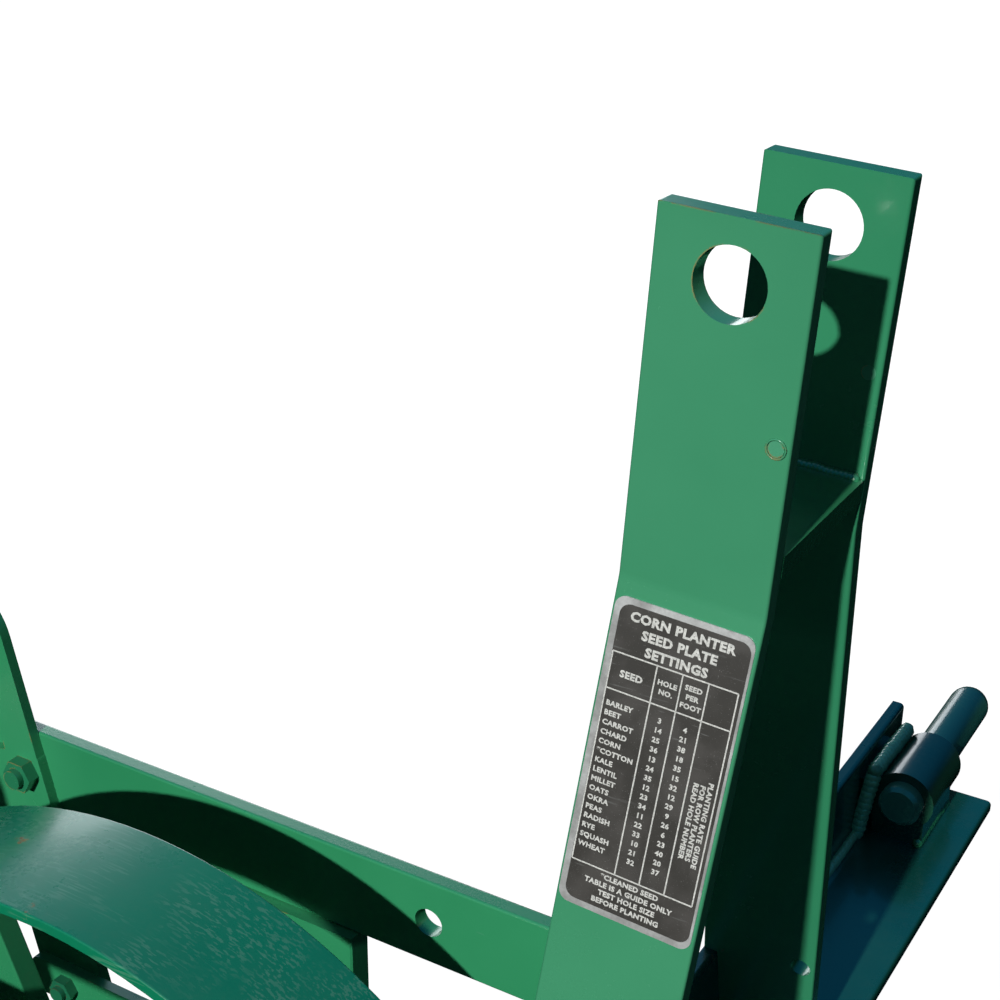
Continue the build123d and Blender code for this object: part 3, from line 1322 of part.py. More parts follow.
hub_half = PRESS_W / 2 + PRESS_HUB_OUT
with BuildPart() as press_wheel:
    with BuildSketch(Plane(origin=(press_x, 0, PRESS_R), x_dir=(1, 0, 0), z_dir=(0, 0, 1))):
        with BuildLine():
            half = PRESS_W / 2
            web = PRESS_WEB / 2
            bore = PRESS_AXLE_R + RUN
            tread_in = PRESS_R - PRESS_DISH - PRESS_WALL
            ThreePointArc((PRESS_R, -half), (PRESS_R - PRESS_DISH, 0), (PRESS_R, half))
            Polyline(
                (PRESS_R, half),
                (PRESS_R - PRESS_WALL, half),
                (tread_in, web),
                (PRESS_HUB_R, web),
                (PRESS_HUB_R, hub_half),
                (bore, hub_half),
                (bore, -hub_half),
                (PRESS_HUB_R, -hub_half),
                (PRESS_HUB_R, -web),
                (tread_in, -web),
                (PRESS_R - PRESS_WALL, -half),
                (PRESS_R, -half),
            )
        make_face()
    revolve(axis=Axis((press_x, 0, PRESS_R), (0, 1, 0)))
    # round lightening holes in the web
    with BuildSketch(side_plane(0, press_x, PRESS_R)):
        with PolarLocations(PRESS_HOLE_AT, PRESS_HOLES):
            Circle(PRESS_HOLE_R)
    extrude(amount=PRESS_WEB, both=True, mode=Mode.SUBTRACT)
press_wheel.part.label = "press_wheel"
export_step(press_wheel.part, "parts/press_wheel.step")

with BuildPart() as press_axle:
    bolt(press_x, arm_outer, -arm_outer, PRESS_R, PRESS_AXLE_R)
press_axle.part.label = "press_axle"
export_step(press_axle.part, "parts/press_axle.step")

with BuildPart() as press_spacers:
    for s in (1, -1):
        with BuildSketch(side_plane(s * arm_inner, press_x, PRESS_R)):
            Circle(PRESS_AXLE_R + SPACER_WALL)
            Circle(PRESS_AXLE_R, mode=Mode.SUBTRACT)
        extrude(amount=s * (arm_inner - hub_half - SLIP))
press_spacers.part.label = "press_spacers"
export_step(press_spacers.part, "parts/press_spacers.step")

# tie between the arms, ahead of the wheel, and the scraper blade bolted to it
tie_at = PRESS_R + TIE_BAR_OUT
tie_face = tie_at + TIE_BAR_T / 2
tie_x = press_x - arm_dir[0] * tie_at
tie_z = PRESS_R - arm_dir[1] * tie_at
with BuildPart() as arm_tie:
    with BuildSketch(side_plane(arm_inner, tie_x, tie_z)):
        with Locations(Location((0, 0), arm_tilt)):
            RectangleRounded(TIE_BAR_T, TIE_BAR_W, 1.5)
    extrude(amount=2 * arm_inner)
arm_tie.part.label = "press_arm_tie"
export_step(arm_tie.part, "parts/press_arm_tie.step")

with BuildPart() as press_scraper:
    with BuildSketch(side_plane(PRESS_W / 2 - 3, press_x, PRESS_R)):
        with Locations(Location((0, 0), arm_tilt + 180)):
            with Locations((tie_face + SCRAPER_T / 2, 0)):
                Rectangle(SCRAPER_T, TIE_BAR_W + SCRAPER_T)
            leg_from = PRESS_R + SCRAPER_GAP + 0.5
            leg_to = tie_face + SCRAPER_T
            with Locations(((leg_from + leg_to) / 2, -TIE_BAR_W / 2 - SCRAPER_T)):
                Rectangle(leg_to - leg_from, SCRAPER_T)
    extrude(amount=PRESS_W - 6)
press_scraper.part.label = "press_scraper"
export_step(press_scraper.part, "parts/press_scraper.step")

# ---------------------------------------------------------------- drive wheel scraper
tube_face = front_tube_x + TUBE_SQ / 2
tip_z = SCRAPER_TIP_Z
tip_r = WHEEL_R + SCRAPER_GAP + SCRAPER_T / 2 + 1
tip_x = wheel_x - (tip_r**2 - (tip_z - WHEEL_R) ** 2) ** 0.5
with BuildPart() as scraper:
    with BuildSketch(side_plane(WHEEL_W / 2 - 3)):
        with BuildLine() as scraper_line:
            FilletPolyline(
                (tube_face + SCRAPER_T / 2, tube_mid + 17),
                (tube_face + SCRAPER_T / 2, tube_mid - 14),
                (tip_x, tip_z),
                radius=6,
            )
        trace(lines=scraper_line.line, line_width=SCRAPER_T)
    extrude(amount=WHEEL_W - 6)
scraper.part.label = "wheel_scraper"
export_step(scraper.part, "parts/wheel_scraper.step")

# ---------------------------------------------------------------- bolts of the frame
tube_high = tube_mid + TUBE_SQ / 2
idler_seat = arm_y - IDLER_ARM_T - SLIP
with BuildPart() as frame_bolts:
    for s in (1, -1):
        # braces and ties
        bolt(brace_x, s * rail_out, s * (rail_in - BRACE_T), rail_mid, M12_R)
        bolt(strut_hole[0], s * rail_in, s * (rail_in - BRACE_T - TIE_T), TIE_Z, STRUT_HOLE_R)
        # hopper base
        for x in base_bolt_x:
            bolt(x, s * rail_out, s * (rail_in - BASE_EAR_T), rail_mid, M12_R)
        # welded stud and nut where a brace meets the hopper band
        with BuildSketch(side_plane(s * brace_in, hopper_x, BRACE_END_Z)):
            Circle(STRUT_HOLE_R)
        extrude(amount=-s * (BRACE_T + 10))
        with BuildSketch(side_plane(s * rail_in, hopper_x, BRACE_END_Z)):
            RegularPolygon(1.8 * STRUT_HOLE_R, 6)
        extrude(amount=-s * 2 * STRUT_HOLE_R * HEAD)
        # covering tines
        for z, up in ((tube_high, 1), (tine_top - COVER_T / 2, -1)):
            with BuildSketch(Plane.XY.offset(z)):
                with Locations((rear_tube_x, s * COVER_Y)):
                    RegularPolygon(1.8 * TINE_BOLT_R, 6)
            extrude(amount=up * 2 * TINE_BOLT_R * HEAD)
        with BuildSketch(Plane.XY.offset(tube_high)):
            with Locations((rear_tube_x, s * COVER_Y)):
                Circle(TINE_BOLT_R)
        extrude(amount=-(TUBE_SQ + COVER_T + 10))
        # stops for the press wheel arms
        with BuildSketch(side_plane(s * rail_out, stop_x, stop_z)):
            RegularPolygon(1.75 * STOP_R, 6)
        extrude(amount=-s * 2 * STOP_R * HEAD)
        with BuildSketch(side_plane(s * rail_out, stop_x, stop_z)):
            Circle(STOP_R)
        extrude(amount=s * (rail_out - arm_inner))
    # idler pivot
    with BuildSketch(side_plane(idler_seat, arm_x, arm_z)):
        RegularPolygon(1.75 * IDLER_BOLT_R, 6)
    extrude(amount=2 * IDLER_BOLT_R * HEAD)
    with BuildSketch(side_plane(idler_seat, arm_x, arm_z)):
        Circle(IDLER_BOLT_R)
    extrude(amount=idler_seat + rail_out)
    # funnel
    for bx, by in funnel_bosses:
        with BuildSketch(Plane.XY.offset(funnel_flange_low)):
            with Locations((bx, by)):
                RegularPolygon(1.75 * FUNNEL_BOLT_R, 6)
        extrude(amount=-2 * FUNNEL_BOLT_R * HEAD)
frame_bolts.part.label = "frame_bolts"
export_step(frame_bolts.part, "parts/frame_bolts.step")
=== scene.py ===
import math

import bpy
from mathutils import Matrix, Vector


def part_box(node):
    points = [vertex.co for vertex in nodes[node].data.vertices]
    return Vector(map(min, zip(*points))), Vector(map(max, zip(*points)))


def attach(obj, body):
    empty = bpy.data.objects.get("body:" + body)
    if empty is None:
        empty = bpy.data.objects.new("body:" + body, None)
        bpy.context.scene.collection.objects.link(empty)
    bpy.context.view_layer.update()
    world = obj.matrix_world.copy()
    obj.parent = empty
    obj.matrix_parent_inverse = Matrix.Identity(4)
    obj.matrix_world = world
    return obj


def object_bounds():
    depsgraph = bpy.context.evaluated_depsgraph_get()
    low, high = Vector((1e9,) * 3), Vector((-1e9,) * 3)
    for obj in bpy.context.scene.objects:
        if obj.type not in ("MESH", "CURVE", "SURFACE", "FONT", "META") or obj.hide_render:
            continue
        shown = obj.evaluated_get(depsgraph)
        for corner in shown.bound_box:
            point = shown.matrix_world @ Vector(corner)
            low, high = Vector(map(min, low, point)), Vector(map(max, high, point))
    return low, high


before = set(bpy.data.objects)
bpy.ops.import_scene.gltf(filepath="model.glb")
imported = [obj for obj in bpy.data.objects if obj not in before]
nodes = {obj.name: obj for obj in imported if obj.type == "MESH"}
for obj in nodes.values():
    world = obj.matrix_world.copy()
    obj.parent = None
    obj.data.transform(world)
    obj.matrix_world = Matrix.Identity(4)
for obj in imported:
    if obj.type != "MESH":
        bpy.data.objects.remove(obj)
cad_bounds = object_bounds()
bpy.ops.object.select_all(action="DESELECT")

# ------------------------------------------------------------------ standpoint and light
# The planter stands on a pale floor. A person beside its front looks back and down
# along the right rail; a low lamp stands on the machine's right, with a soft one behind.
scene = bpy.context.scene
scene.view_settings.view_transform = "Standard"
EYE = (0.8235, -0.4839, 1.0115)
EYE_TURN, EYE_DOWN, EYE_ROLL = math.radians(30.77), math.radians(24.19), math.radians(0.59)
eye_data = bpy.data.cameras.new("standpoint")
eye_data.sensor_width, eye_data.lens = 36, 62.26
eye = bpy.data.objects.new("standpoint", eye_data)
scene.collection.objects.link(eye)
eye.matrix_world = (
    Matrix.Translation(EYE)
    @ Matrix.Rotation(EYE_TURN, 4, "Z")
    @ Matrix.Rotation(math.pi / 2 - EYE_DOWN, 4, "X")
    @ Matrix.Rotation(EYE_ROLL, 4, "Z")
)
scene.camera = eye


def lamp(name, kind, place, travel, strength, size, colour):
    """A lamp at a place, shining along travel."""
    data = bpy.data.lights.new(name, kind)
    data.energy = strength
    data.color = colour
    if kind == "SUN":
        data.angle = size
    else:
        data.shape = "DISK"
        data.size = size
    item = bpy.data.objects.new(name, data)
    scene.collection.objects.link(item)
    item.location = place
    item.rotation_mode = "QUATERNION"
    item.rotation_quaternion = Vector(travel).to_track_quat("-Z", "Y")
    return item


lamp("key_lamp", "SUN", (0, -4, 3), (-0.058, 0.902, -0.427), 3.6, math.radians(1.5), (1, 0.985, 0.95))
lamp("back_fill", "AREA", (-2.2, 3.2, 1.6), (2.2, -3.2, -1.1), 60, 2.4, (0.93, 0.97, 1))
lamp("top_fill", "AREA", (0.2, 0.3, 4.0), (0, 0, -1), 5, 3.0, (0.8, 0.9, 1))

bpy.ops.mesh.primitive_grid_add(
    x_subdivisions=12, y_subdivisions=12, size=16, location=(0, 0, cad_bounds[0].z))
floor = bpy.context.object
floor.name = "studio_floor"
bpy.ops.object.transform_apply()
floor.visible_diffuse = False
floor.visible_glossy = False
floor_paint = bpy.data.materials.new("studio_floor_paint")
floor_paint.use_nodes = True
floor_shader = floor_paint.node_tree.nodes["Principled BSDF"]
floor_shader.inputs["Base Color"].default_value = (0.12, 0.12, 0.12, 1)
floor_shader.inputs["Roughness"].default_value = 0.9
floor_shader.inputs["Emission Color"].default_value = (1, 1, 1, 1)
floor_shader.inputs["Emission Strength"].default_value = 0.98
floor.data.materials.append(floor_paint)

world = bpy.data.worlds.new("studio_air")
scene.world = world
world.use_nodes = True
air = world.node_tree
air.nodes.clear()
air_out = air.nodes.new("ShaderNodeOutputWorld")
seen = air.nodes.new("ShaderNodeBackground")
seen.inputs["Color"].default_value = (1, 1, 1, 1)
unseen = air.nodes.new("ShaderNodeBackground")
unseen.inputs["Color"].default_value = (0.42, 0.62, 1, 1)
unseen.inputs["Strength"].default_value = 0.05
which = air.nodes.new("ShaderNodeMixShader")
ray = air.nodes.new("ShaderNodeLightPath")
sky = air.nodes.new("ShaderNodeBackground")
sky.inputs["Color"].default_value = (0.02, 0.42, 0.86, 1)
bearing = air.nodes.new("ShaderNodeSeparateXYZ")
air.links.new(air.nodes.new("ShaderNodeTexCoord").outputs["Generated"], bearing.inputs[0])
height = air.nodes.new("ShaderNodeMapRange")
height.inputs["From Min"].default_value = 0.05
height.inputs["From Max"].default_value = 0.55
height.inputs["To Max"].default_value = 0.62
air.links.new(bearing.outputs["Z"], height.inputs["Value"])
air.links.new(height.outputs[0], sky.inputs["Strength"])
mirrored = air.nodes.new("ShaderNodeMixShader")
air.links.new(ray.outputs["Is Glossy Ray"], mirrored.inputs[0])
air.links.new(unseen.outputs[0], mirrored.inputs[1])
air.links.new(sky.outputs[0], mirrored.inputs[2])
air.links.new(ray.outputs["Is Camera Ray"], which.inputs[0])
air.links.new(mirrored.outputs[0], which.inputs[1])
air.links.new(seen.outputs[0], which.inputs[2])
air.links.new(which.outputs[0], air_out.inputs[0])


# ------------------------------------------------------------------ rails
# Two flat bars of hot-rolled steel, sheared to length and punched, then sprayed with
# glossy machine enamel. The film has orange peel, dust on top and wear along the edges.
def put(tree, kind, settings=None, **joins):
    """Adds a node, sets its options, and sets its inputs or joins them to other nodes."""
    item = tree.nodes.new(kind)
    for key, value in (settings or {}).items():
        setattr(item, key, value)
    for key, value in joins.items():
        label = key.replace("_", " ")
        socket = item.inputs[int(key[1:])] if key[1:].isdigit() else item.inputs[label]
        if isinstance(value, bpy.types.NodeSocket):
            tree.links.new(value, socket)
        else:
            socket.default_value = value
    return item


def effect(name, takes, gives):
    """A shader node group with named inputs and outputs."""
    tree = bpy.data.node_groups.new(name, "ShaderNodeTree")
    for label, value in takes.items():
        kind = "NodeSocketVector" if value is None else "NodeSocketFloat"
        socket = tree.interface.new_socket(name=label, in_out="INPUT", socket_type=kind)
        if value is not None:
            socket.default_value = value
    for label, kind in gives.items():
        tree.interface.new_socket(name=label, in_out="OUTPUT", socket_type=kind)
    return tree, tree.nodes.new("NodeGroupInput").outputs, tree.nodes.new("NodeGroupOutput").inputs


def ramp(tree, value, low, high, start=0.0, end=1.0):
    """A smooth step of a value between two limits."""
    step = put(tree, "ShaderNodeMapRange", {"interpolation_type": "SMOOTHSTEP"}, Value=value)
    for label, number in (("From Min", low), ("From Max", high), ("To Min", start), ("To Max", end)):
        if isinstance(number, bpy.types.NodeSocket):
            tree.links.new(number, step.inputs[label])
        else:
            step.inputs[label].default_value = number
    return step.outputs[0]


def sums(tree, operation, a, b):
    """One arithmetic node."""
    return put(tree, "ShaderNodeMath", {"operation": operation, "use_clamp": True}, _0=a, _1=b).outputs[0]


def noise(tree, vector, scale, detail=3.0, rough=0.55):
    """One noise node's value."""
    item = put(tree, "ShaderNodeTexNoise", None, Vector=vector, Detail=detail, Roughness=rough)
    if isinstance(scale, bpy.types.NodeSocket):
        tree.links.new(scale, item.inputs["Scale"])
    else:
        item.inputs["Scale"].default_value = scale
    return item.outputs[0]


# Wear shows where an edge stands proud of its neighbours, broken up by noise.
tree, get, give = effect(
    "worn_edge",
    {"Vector": None, "Width": 0.0012, "Patch Scale": 60.0, "Cover": 0.5},
    {"Mask": "NodeSocketFloat"},
)
round_over = put(tree, "ShaderNodeBevel", {"samples": 4}, Radius=get["Width"])
facing = put(tree, "ShaderNodeNewGeometry").outputs["Normal"]
agree = put(tree, "ShaderNodeVectorMath", {"operation": "DOT_PRODUCT"}, _0=round_over.outputs[0], _1=facing)
edge = ramp(tree, agree.outputs["Value"], 0.93, 0.72)
patch = noise(tree, get["Vector"], get["Patch Scale"], 5.0, 0.65)
limit = sums(tree, "SUBTRACT", 1.0, get["Cover"])
upper = sums(tree, "ADD", limit, 0.08)
tree.links.new(sums(tree, "MULTIPLY", edge, ramp(tree, patch, limit, upper)), give["Mask"])

# Sprayed enamel dries with orange peel, slow waves of thickness and a few dust nibs.
tree, get, give = effect(
    "sprayed_film",
    {"Vector": None, "Peel": 0.5, "Nibs": 0.4},
    {"Height": "NodeSocketFloat", "Tone": "NodeSocketFloat"},
)
peel = noise(tree, get["Vector"], 520.0, 1.5, 0.4)
wave = noise(tree, get["Vector"], 38.0, 2.0, 0.5)
cells = put(tree, "ShaderNodeTexVoronoi", {"feature": "F1"}, Vector=get["Vector"], Scale=130.0)
nib = sums(tree, "MULTIPLY", ramp(tree, cells.outputs["Distance"], 0.085, 0.0), get["Nibs"])
peel = sums(tree, "MULTIPLY", peel, get["Peel"])
film = sums(tree, "ADD", sums(tree, "MULTIPLY", wave, 0.35), sums(tree, "MULTIPLY", peel, 0.4))
tree.links.new(sums(tree, "ADD", film, sums(tree, "MULTIPLY", nib, 0.25)), give["Height"])
tree.links.new(noise(tree, get["Vector"], 7.0, 4.0, 0.6), give["Tone"])

# Dust settles on what faces up, and thinly in drifts elsewhere.
tree, get, give = effect(
    "settled_dust",
    {"Vector": None, "Amount": 0.3, "Grain": 240.0},
    {"Mask": "NodeSocketFloat"},
)
facing = put(tree, "ShaderNodeNewGeometry").outputs["Normal"]
rise = put(tree, "ShaderNodeSeparateXYZ", None, Vector=facing).outputs["Z"]
upward = ramp(tree, rise, 0.1, 0.95, 0.12, 1.0)
drift = ramp(tree, noise(tree, get["Vector"], 16.0, 4.0, 0.6), 0.35, 0.7)
speck = ramp(tree, noise(tree, get["Vector"], get["Grain"], 3.0, 0.7), 0.45, 0.75)
loose = sums(tree, "ADD", sums(tree, "MULTIPLY", drift, 0.6), sums(tree, "MULTIPLY", speck, 0.5))
lay = sums(tree, "MULTIPLY", upward, loose)
tree.links.new(sums(tree, "MULTIPLY", lay, get["Amount"]), give["Mask"])

# Rust comes up in small blooms, yellow at the rim and brown in the middle.
tree, get, give = effect(
    "rust_bloom",
    {"Vector": None, "Scale": 45.0, "Cover": 0.2},
    {"Mask": "NodeSocketFloat", "Colour": "NodeSocketColor", "Height": "NodeSocketFloat"},
)
bloom = noise(tree, get["Vector"], get["Scale"], 7.0, 0.62)
limit = sums(tree, "SUBTRACT", 0.78, sums(tree, "MULTIPLY", get["Cover"], 0.6))
mask = ramp(tree, bloom, limit, sums(tree, "ADD", limit, 0.05))
fine = noise(tree, get["Vector"], 420.0, 4.0, 0.7)
shades = put(tree, "ShaderNodeValToRGB", None, Fac=fine)
shades.color_ramp.elements[0].position, shades.color_ramp.elements[1].position = 0.35, 0.68
shades.color_ramp.elements[0].color = (0.10, 0.030, 0.010, 1)
shades.color_ramp.elements[1].color = (0.42, 0.19, 0.035, 1)
tree.links.new(mask, give["Mask"])
tree.links.new(shades.outputs[0], give["Colour"])
tree.links.new(sums(tree, "MULTIPLY", fine, mask), give["Height"])

# Scratches are stretched noise, cut thin, along the grain of the vector they are given.
tree, get, give = effect(
    "fine_scratches",
    {"Vector": None, "Length": 0.08, "Density": 700.0, "Cover": 0.3},
    {"Mask": "NodeSocketFloat"},
)
parts = put(tree, "ShaderNodeSeparateXYZ", None, Vector=get["Vector"]).outputs
slow = put(tree, "ShaderNodeMath", {"operation": "MULTIPLY"}, _0=parts[0], _1=get["Length"]).outputs[0]
stretched = put(tree, "ShaderNodeCombineXYZ", None, X=slow, Y=parts[1], Z=parts[2]).outputs[0]
line = noise(tree, stretched, get["Density"], 2.0, 0.5)
field = ramp(tree, noise(tree, get["Vector"], 22.0, 3.0, 0.6), 0.42, 0.62)
limit = sums(tree, "SUBTRACT", 0.80, sums(tree, "MULTIPLY", get["Cover"], 0.3))
cut = ramp(tree, line, limit, sums(tree, "ADD", limit, 0.03))
tree.links.new(sums(tree, "MULTIPLY", cut, field), give["Mask"])


def use(tree, name, **joins):
    """Places one of the effects in a material."""
    item = put(tree, "ShaderNodeGroup", {"node_tree": bpy.data.node_groups[name]}, **joins)
    return item.outputs


def blend_colour(tree, share, a, b, mode="MIX"):
    """Mixes two colours by a mask."""
    item = put(tree, "ShaderNodeMix", {"data_type": "RGBA", "blend_type": mode})
    for index, value in ((0, share), (6, a), (7, b)):
        if isinstance(value, bpy.types.NodeSocket):
            tree.links.new(value, item.inputs[index])
        else:
            item.inputs[index].default_value = value
    return item.outputs[2]


def emboss(tree, shader, height, strength, distance):
    """Turns a height into relief on a material's surface."""
    bump = put(tree, "ShaderNodeBump", None, Strength=strength, Distance=distance, Height=height)
    tree.links.new(bump.outputs[0], shader["Normal"])


def start(name):
    """A new material, its tree, its shader and a vector in the piece's own coordinates."""
    material = bpy.data.materials.new(name)
    material.use_nodes = True
    tree = material.node_tree
    vector = put(tree, "ShaderNodeTexCoord").outputs["Object"]
    return material, tree, tree.nodes["Principled BSDF"].inputs, vector


def enamel(name, colour, deep, peel=0.5, nibs=0.4, worn=0.45, dust=0.25, rust=0.05, scuffs=0.0):
    """Glossy machine enamel over steel."""
    material, tree, shader, vector = start(name)
    film = use(tree, "sprayed_film", Vector=vector, Peel=peel, Nibs=nibs)
    worn_off = use(tree, "worn_edge", Vector=vector, Cover=worn)["Mask"]
    dusty = use(tree, "settled_dust", Vector=vector, Amount=dust)["Mask"]
    rusty = use(tree, "rust_bloom", Vector=vector, Cover=rust)
    scuffed = use(tree, "fine_scratches", Vector=vector, Cover=scuffs)["Mask"]
    paint = blend_colour(tree, ramp(tree, film["Tone"], 0.3, 0.7), (*deep, 1), (*colour, 1))
    paint = blend_colour(tree, sums(tree, "MULTIPLY", scuffed, 0.55), paint, (0.10, 0.30, 0.20, 1))
    brown, ochre = (0.09, 0.060, 0.025, 1), (0.34, 0.20, 0.05, 1)
    bare = blend_colour(tree, ramp(tree, film["Tone"], 0.4, 0.6), brown, ochre)
    paint = blend_colour(tree, worn_off, paint, bare)
    paint = blend_colour(tree, rusty["Mask"], paint, rusty["Colour"])
    tree.links.new(blend_colour(tree, dusty, paint, (0.20, 0.19, 0.15, 1)), shader["Base Color"])
    matt_rust = sums(tree, "MULTIPLY", rusty["Mask"], 0.55)
    dull = sums(tree, "MAXIMUM", sums(tree, "MULTIPLY", dusty, 0.6), matt_rust)
    dull = sums(tree, "MAXIMUM", dull, sums(tree, "MULTIPLY", worn_off, 0.2))
    tree.links.new(sums(tree, "ADD", dull, 0.27), shader["Roughness"])
    height = sums(tree, "SUBTRACT", film["Height"], sums(tree, "MULTIPLY", worn_off, 0.25))
    height = sums(tree, "ADD", height, sums(tree, "MULTIPLY", rusty["Height"], 0.4))
    emboss(tree, shader, height, 0.35, 0.00035)
    shader["Specular IOR Level"].default_value = 0.5
    shader["Coat Weight"].default_value = 0.3
    shader["Coat Roughness"].default_value = 0.1
    return material


def dress(material, *names):
    """Gives CAD nodes one material."""
    for name in names:
        data = nodes[name].data
        data.materials.clear()
        data.materials.append(material)


GREEN = (0.030, 0.262, 0.112)
DEEP_GREEN = (0.022, 0.232, 0.096)
rail_enamel = enamel("rail_enamel", GREEN, DEEP_GREEN, worn=0.40, dust=0.05, scuffs=0.15, rust=0.06)
dress(rail_enamel, "rail_left", "rail_right")

# ------------------------------------------------------------------ top-link mast
# Two flat bars bent outwards at the knee and joined by a spacer plate, welded at the
# foot to the cross angle. Rust freckles show through thin enamel along the sheared edges.
# The right plate's enamel is painted lighter than the rails' green: painted light.
MAST_PAINTED_LIGHT_GREEN = (0.052, 0.288, 0.146)
mast_painted_light_enamel = enamel(
    "mast_painted_light_enamel", MAST_PAINTED_LIGHT_GREEN, (0.044, 0.262, 0.130),
    peel=0.7, nibs=0.55, worn=0.50, dust=0.06, rust=0.16, scuffs=0.12)
dress(mast_painted_light_enamel, "mast_plate_right")
# The left plate's enamel is a darker copy of the right plate's: painted shade.
left_plate_painted_shade_enamel = enamel(
    "left_plate_painted_shade_enamel", (0.034, 0.252, 0.120), (0.028, 0.228, 0.106),
    peel=0.7, nibs=0.55, worn=0.36, dust=0.06, rust=0.12, scuffs=0.12)
dress(left_plate_painted_shade_enamel, "mast_plate_left")
# The spacer's enamel is painted darker than the frame's green: painted shade.
spacer_painted_shade_enamel = enamel(
    "spacer_painted_shade_enamel", DEEP_GREEN, (0.012, 0.13, 0.06), peel=0.8, worn=0.3, dust=0.10, rust=0.12)
dress(spacer_painted_shade_enamel, "mast_spacer")


def settle(name, material, body, angle=40):
    """Names the piece just made, sets its place in its mesh, paints it and hangs it on a body."""
    bpy.ops.object.transform_apply(location=True, rotation=True, scale=True)
    piece = bpy.context.object
    piece.name = piece.data.name = name
    bpy.ops.object.shade_smooth_by_angle(angle=math.radians(angle))
    piece.data.materials.clear()
    piece.data.materials.append(material)
    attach(piece, body)
    bpy.ops.object.select_all(action="DESELECT")
    return piece


def apply_all():
    """Applies the modifiers of the piece being made."""
    piece = bpy.context.object
    for modifier in list(piece.modifiers):
        bpy.ops.object.modifier_apply(modifier=modifier.name)


ripple = bpy.data.textures.new("weld_ripple", "CLOUDS")
ripple.noise_scale = 0.003
weld_enamel = enamel("weld_enamel", GREEN, DEEP_GREEN, peel=1.0, nibs=0.8, worn=0.2, dust=0.2, rust=0.10)


def welds(name, body, runs, radius=0.0026, material=None):
    """Weld beads, each a row of overlapping puddles from one point to another."""
    beads = []
    for first, last in runs:
        way = Vector(last) - Vector(first)
        count = max(3, round(way.length / (radius * 0.7)))
        bpy.ops.object.select_all(action="DESELECT")
        bpy.ops.mesh.primitive_uv_sphere_add(segments=8, ring_count=6, radius=radius, location=first)
        bpy.ops.object.transform_apply(location=True, rotation=True, scale=True)
        puddle = bpy.context.object
        row = puddle.modifiers.new("row", "ARRAY")
        row.use_relative_offset = False
        row.use_constant_offset = True
        row.constant_offset_displace = way / (count - 1)
        row.count = count
        uneven = puddle.modifiers.new("uneven", "DISPLACE")
        uneven.texture = ripple
        uneven.strength = radius * 0.35
        apply_all()
        beads.append(puddle)
    for one in beads:
        one.select_set(True)
    bpy.context.view_layer.objects.active = beads[0]
    if len(beads) > 1:
        bpy.ops.object.join()
    return settle(name, material or weld_enamel, body, 75)


LEAN = math.radians(3.45)
SEAM_SHORT, SEAM_SINK, SEAM_LOW = 0.003, 0.0012, 0.0004
spacer_low, spacer_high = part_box("mast_spacer")
slope = (spacer_high.x - spacer_low.x) * math.tan(LEAN)
seam_rear, seam_front = spacer_low.x + SEAM_SHORT, spacer_high.x - SEAM_SHORT
seam_y = spacer_high.y - SEAM_SINK
seam_heights = (
    (spacer_high.z - SEAM_LOW, spacer_high.z - slope),
    (spacer_low.z + slope, spacer_low.z + SEAM_LOW),
)
welds("spacer_welds", "frame", [
    ((seam_rear, s * seam_y, rear_z), (seam_front, s * seam_y, front_z))
    for rear_z, front_z in seam_heights
    for s in (1, -1)
], 0.0022)

mast_low, mast_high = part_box("mast_plate_left")
angle_low, angle_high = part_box("hitch_cross_angle")
foot_rear, foot_front, foot_z = mast_low.x + 0.008, mast_low.x + 0.048, mast_low.z + 0.001
foot_outside, foot_inside = mast_high.y + 0.0006, mast_high.y - 0.0092
welds("mast_foot_welds", "frame", [
    ((foot_rear, s * y, foot_z), (foot_front, s * y, foot_z))
    for y in (foot_outside, foot_inside)
    for s in (1, -1)
], 0.003)

# ------------------------------------------------------------------ mast plugs
# A small spare hole beside the top-link hole is filled with a driven steel plug. The
# plug's rim stands a little proud and shows as a pale ring under the enamel.
dress(enamel("plug_enamel", (0.075, 0.33, 0.19), MAST_PAINTED_LIGHT_GREEN, peel=0.3, worn=0.5), "mast_plugs")
plug_low, plug_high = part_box("mast_plugs")
for side, face in (("left", plug_high.y), ("right", plug_low.y)):
    bpy.ops.mesh.primitive_torus_add(
        major_segments=40, minor_segments=8, major_radius=0.0031, minor_radius=0.00035,
        location=((plug_low.x + plug_high.x) / 2, face, (plug_low.z + plug_high.z) / 2),
        rotation=(math.pi / 2, 0, 0))
    swage = bpy.context.object.modifiers.new("swage", "DISPLACE")
    swage.texture, swage.strength = ripple, 0.0003
    apply_all()
    settle("plug_ring_" + side, mast_painted_light_enamel, "frame", 60)

# ------------------------------------------------------------------ seed chart
# A printed foil label stuck to the right mast plate: bare silver edge, charcoal panel
# and pale lettering in a ruled table, lightly scuffed by handling.
foil, tree, shader, vector = start("chart_foil")
grain = noise(tree, vector, 900.0, 2.0, 0.6)
silver = blend_colour(tree, grain, (0.42, 0.43, 0.42, 1), (0.66, 0.67, 0.66, 1))
tree.links.new(silver, shader["Base Color"])
tree.links.new(ramp(tree, noise(tree, vector, 120.0), 0.3, 0.7, 0.28, 0.5), shader["Roughness"])
shader["Metallic"].default_value = 0.55
dress(foil, "seed_chart_plate")

panel_ink, tree, shader, vector = start("chart_panel_ink")
speck = ramp(tree, noise(tree, vector, 2600.0, 2.0, 0.7), 0.66, 0.74)
rub = use(tree, "fine_scratches", Vector=vector, Cover=0.45, Density=900.0)["Mask"]
cloud = ramp(tree, noise(tree, vector, 70.0, 3.0), 0.35, 0.7)
ink = blend_colour(tree, cloud, (0.036, 0.034, 0.030, 1), (0.050, 0.046, 0.041, 1))
ink = blend_colour(tree, sums(tree, "MULTIPLY", speck, 0.7), ink, (0.30, 0.31, 0.30, 1))
ink = blend_colour(tree, sums(tree, "MULTIPLY", rub, 0.25), ink, (0.36, 0.38, 0.38, 1))
tree.links.new(ink, shader["Base Color"])
tree.links.new(ramp(tree, cloud, 0.0, 1.0, 0.42, 0.58), shader["Roughness"])

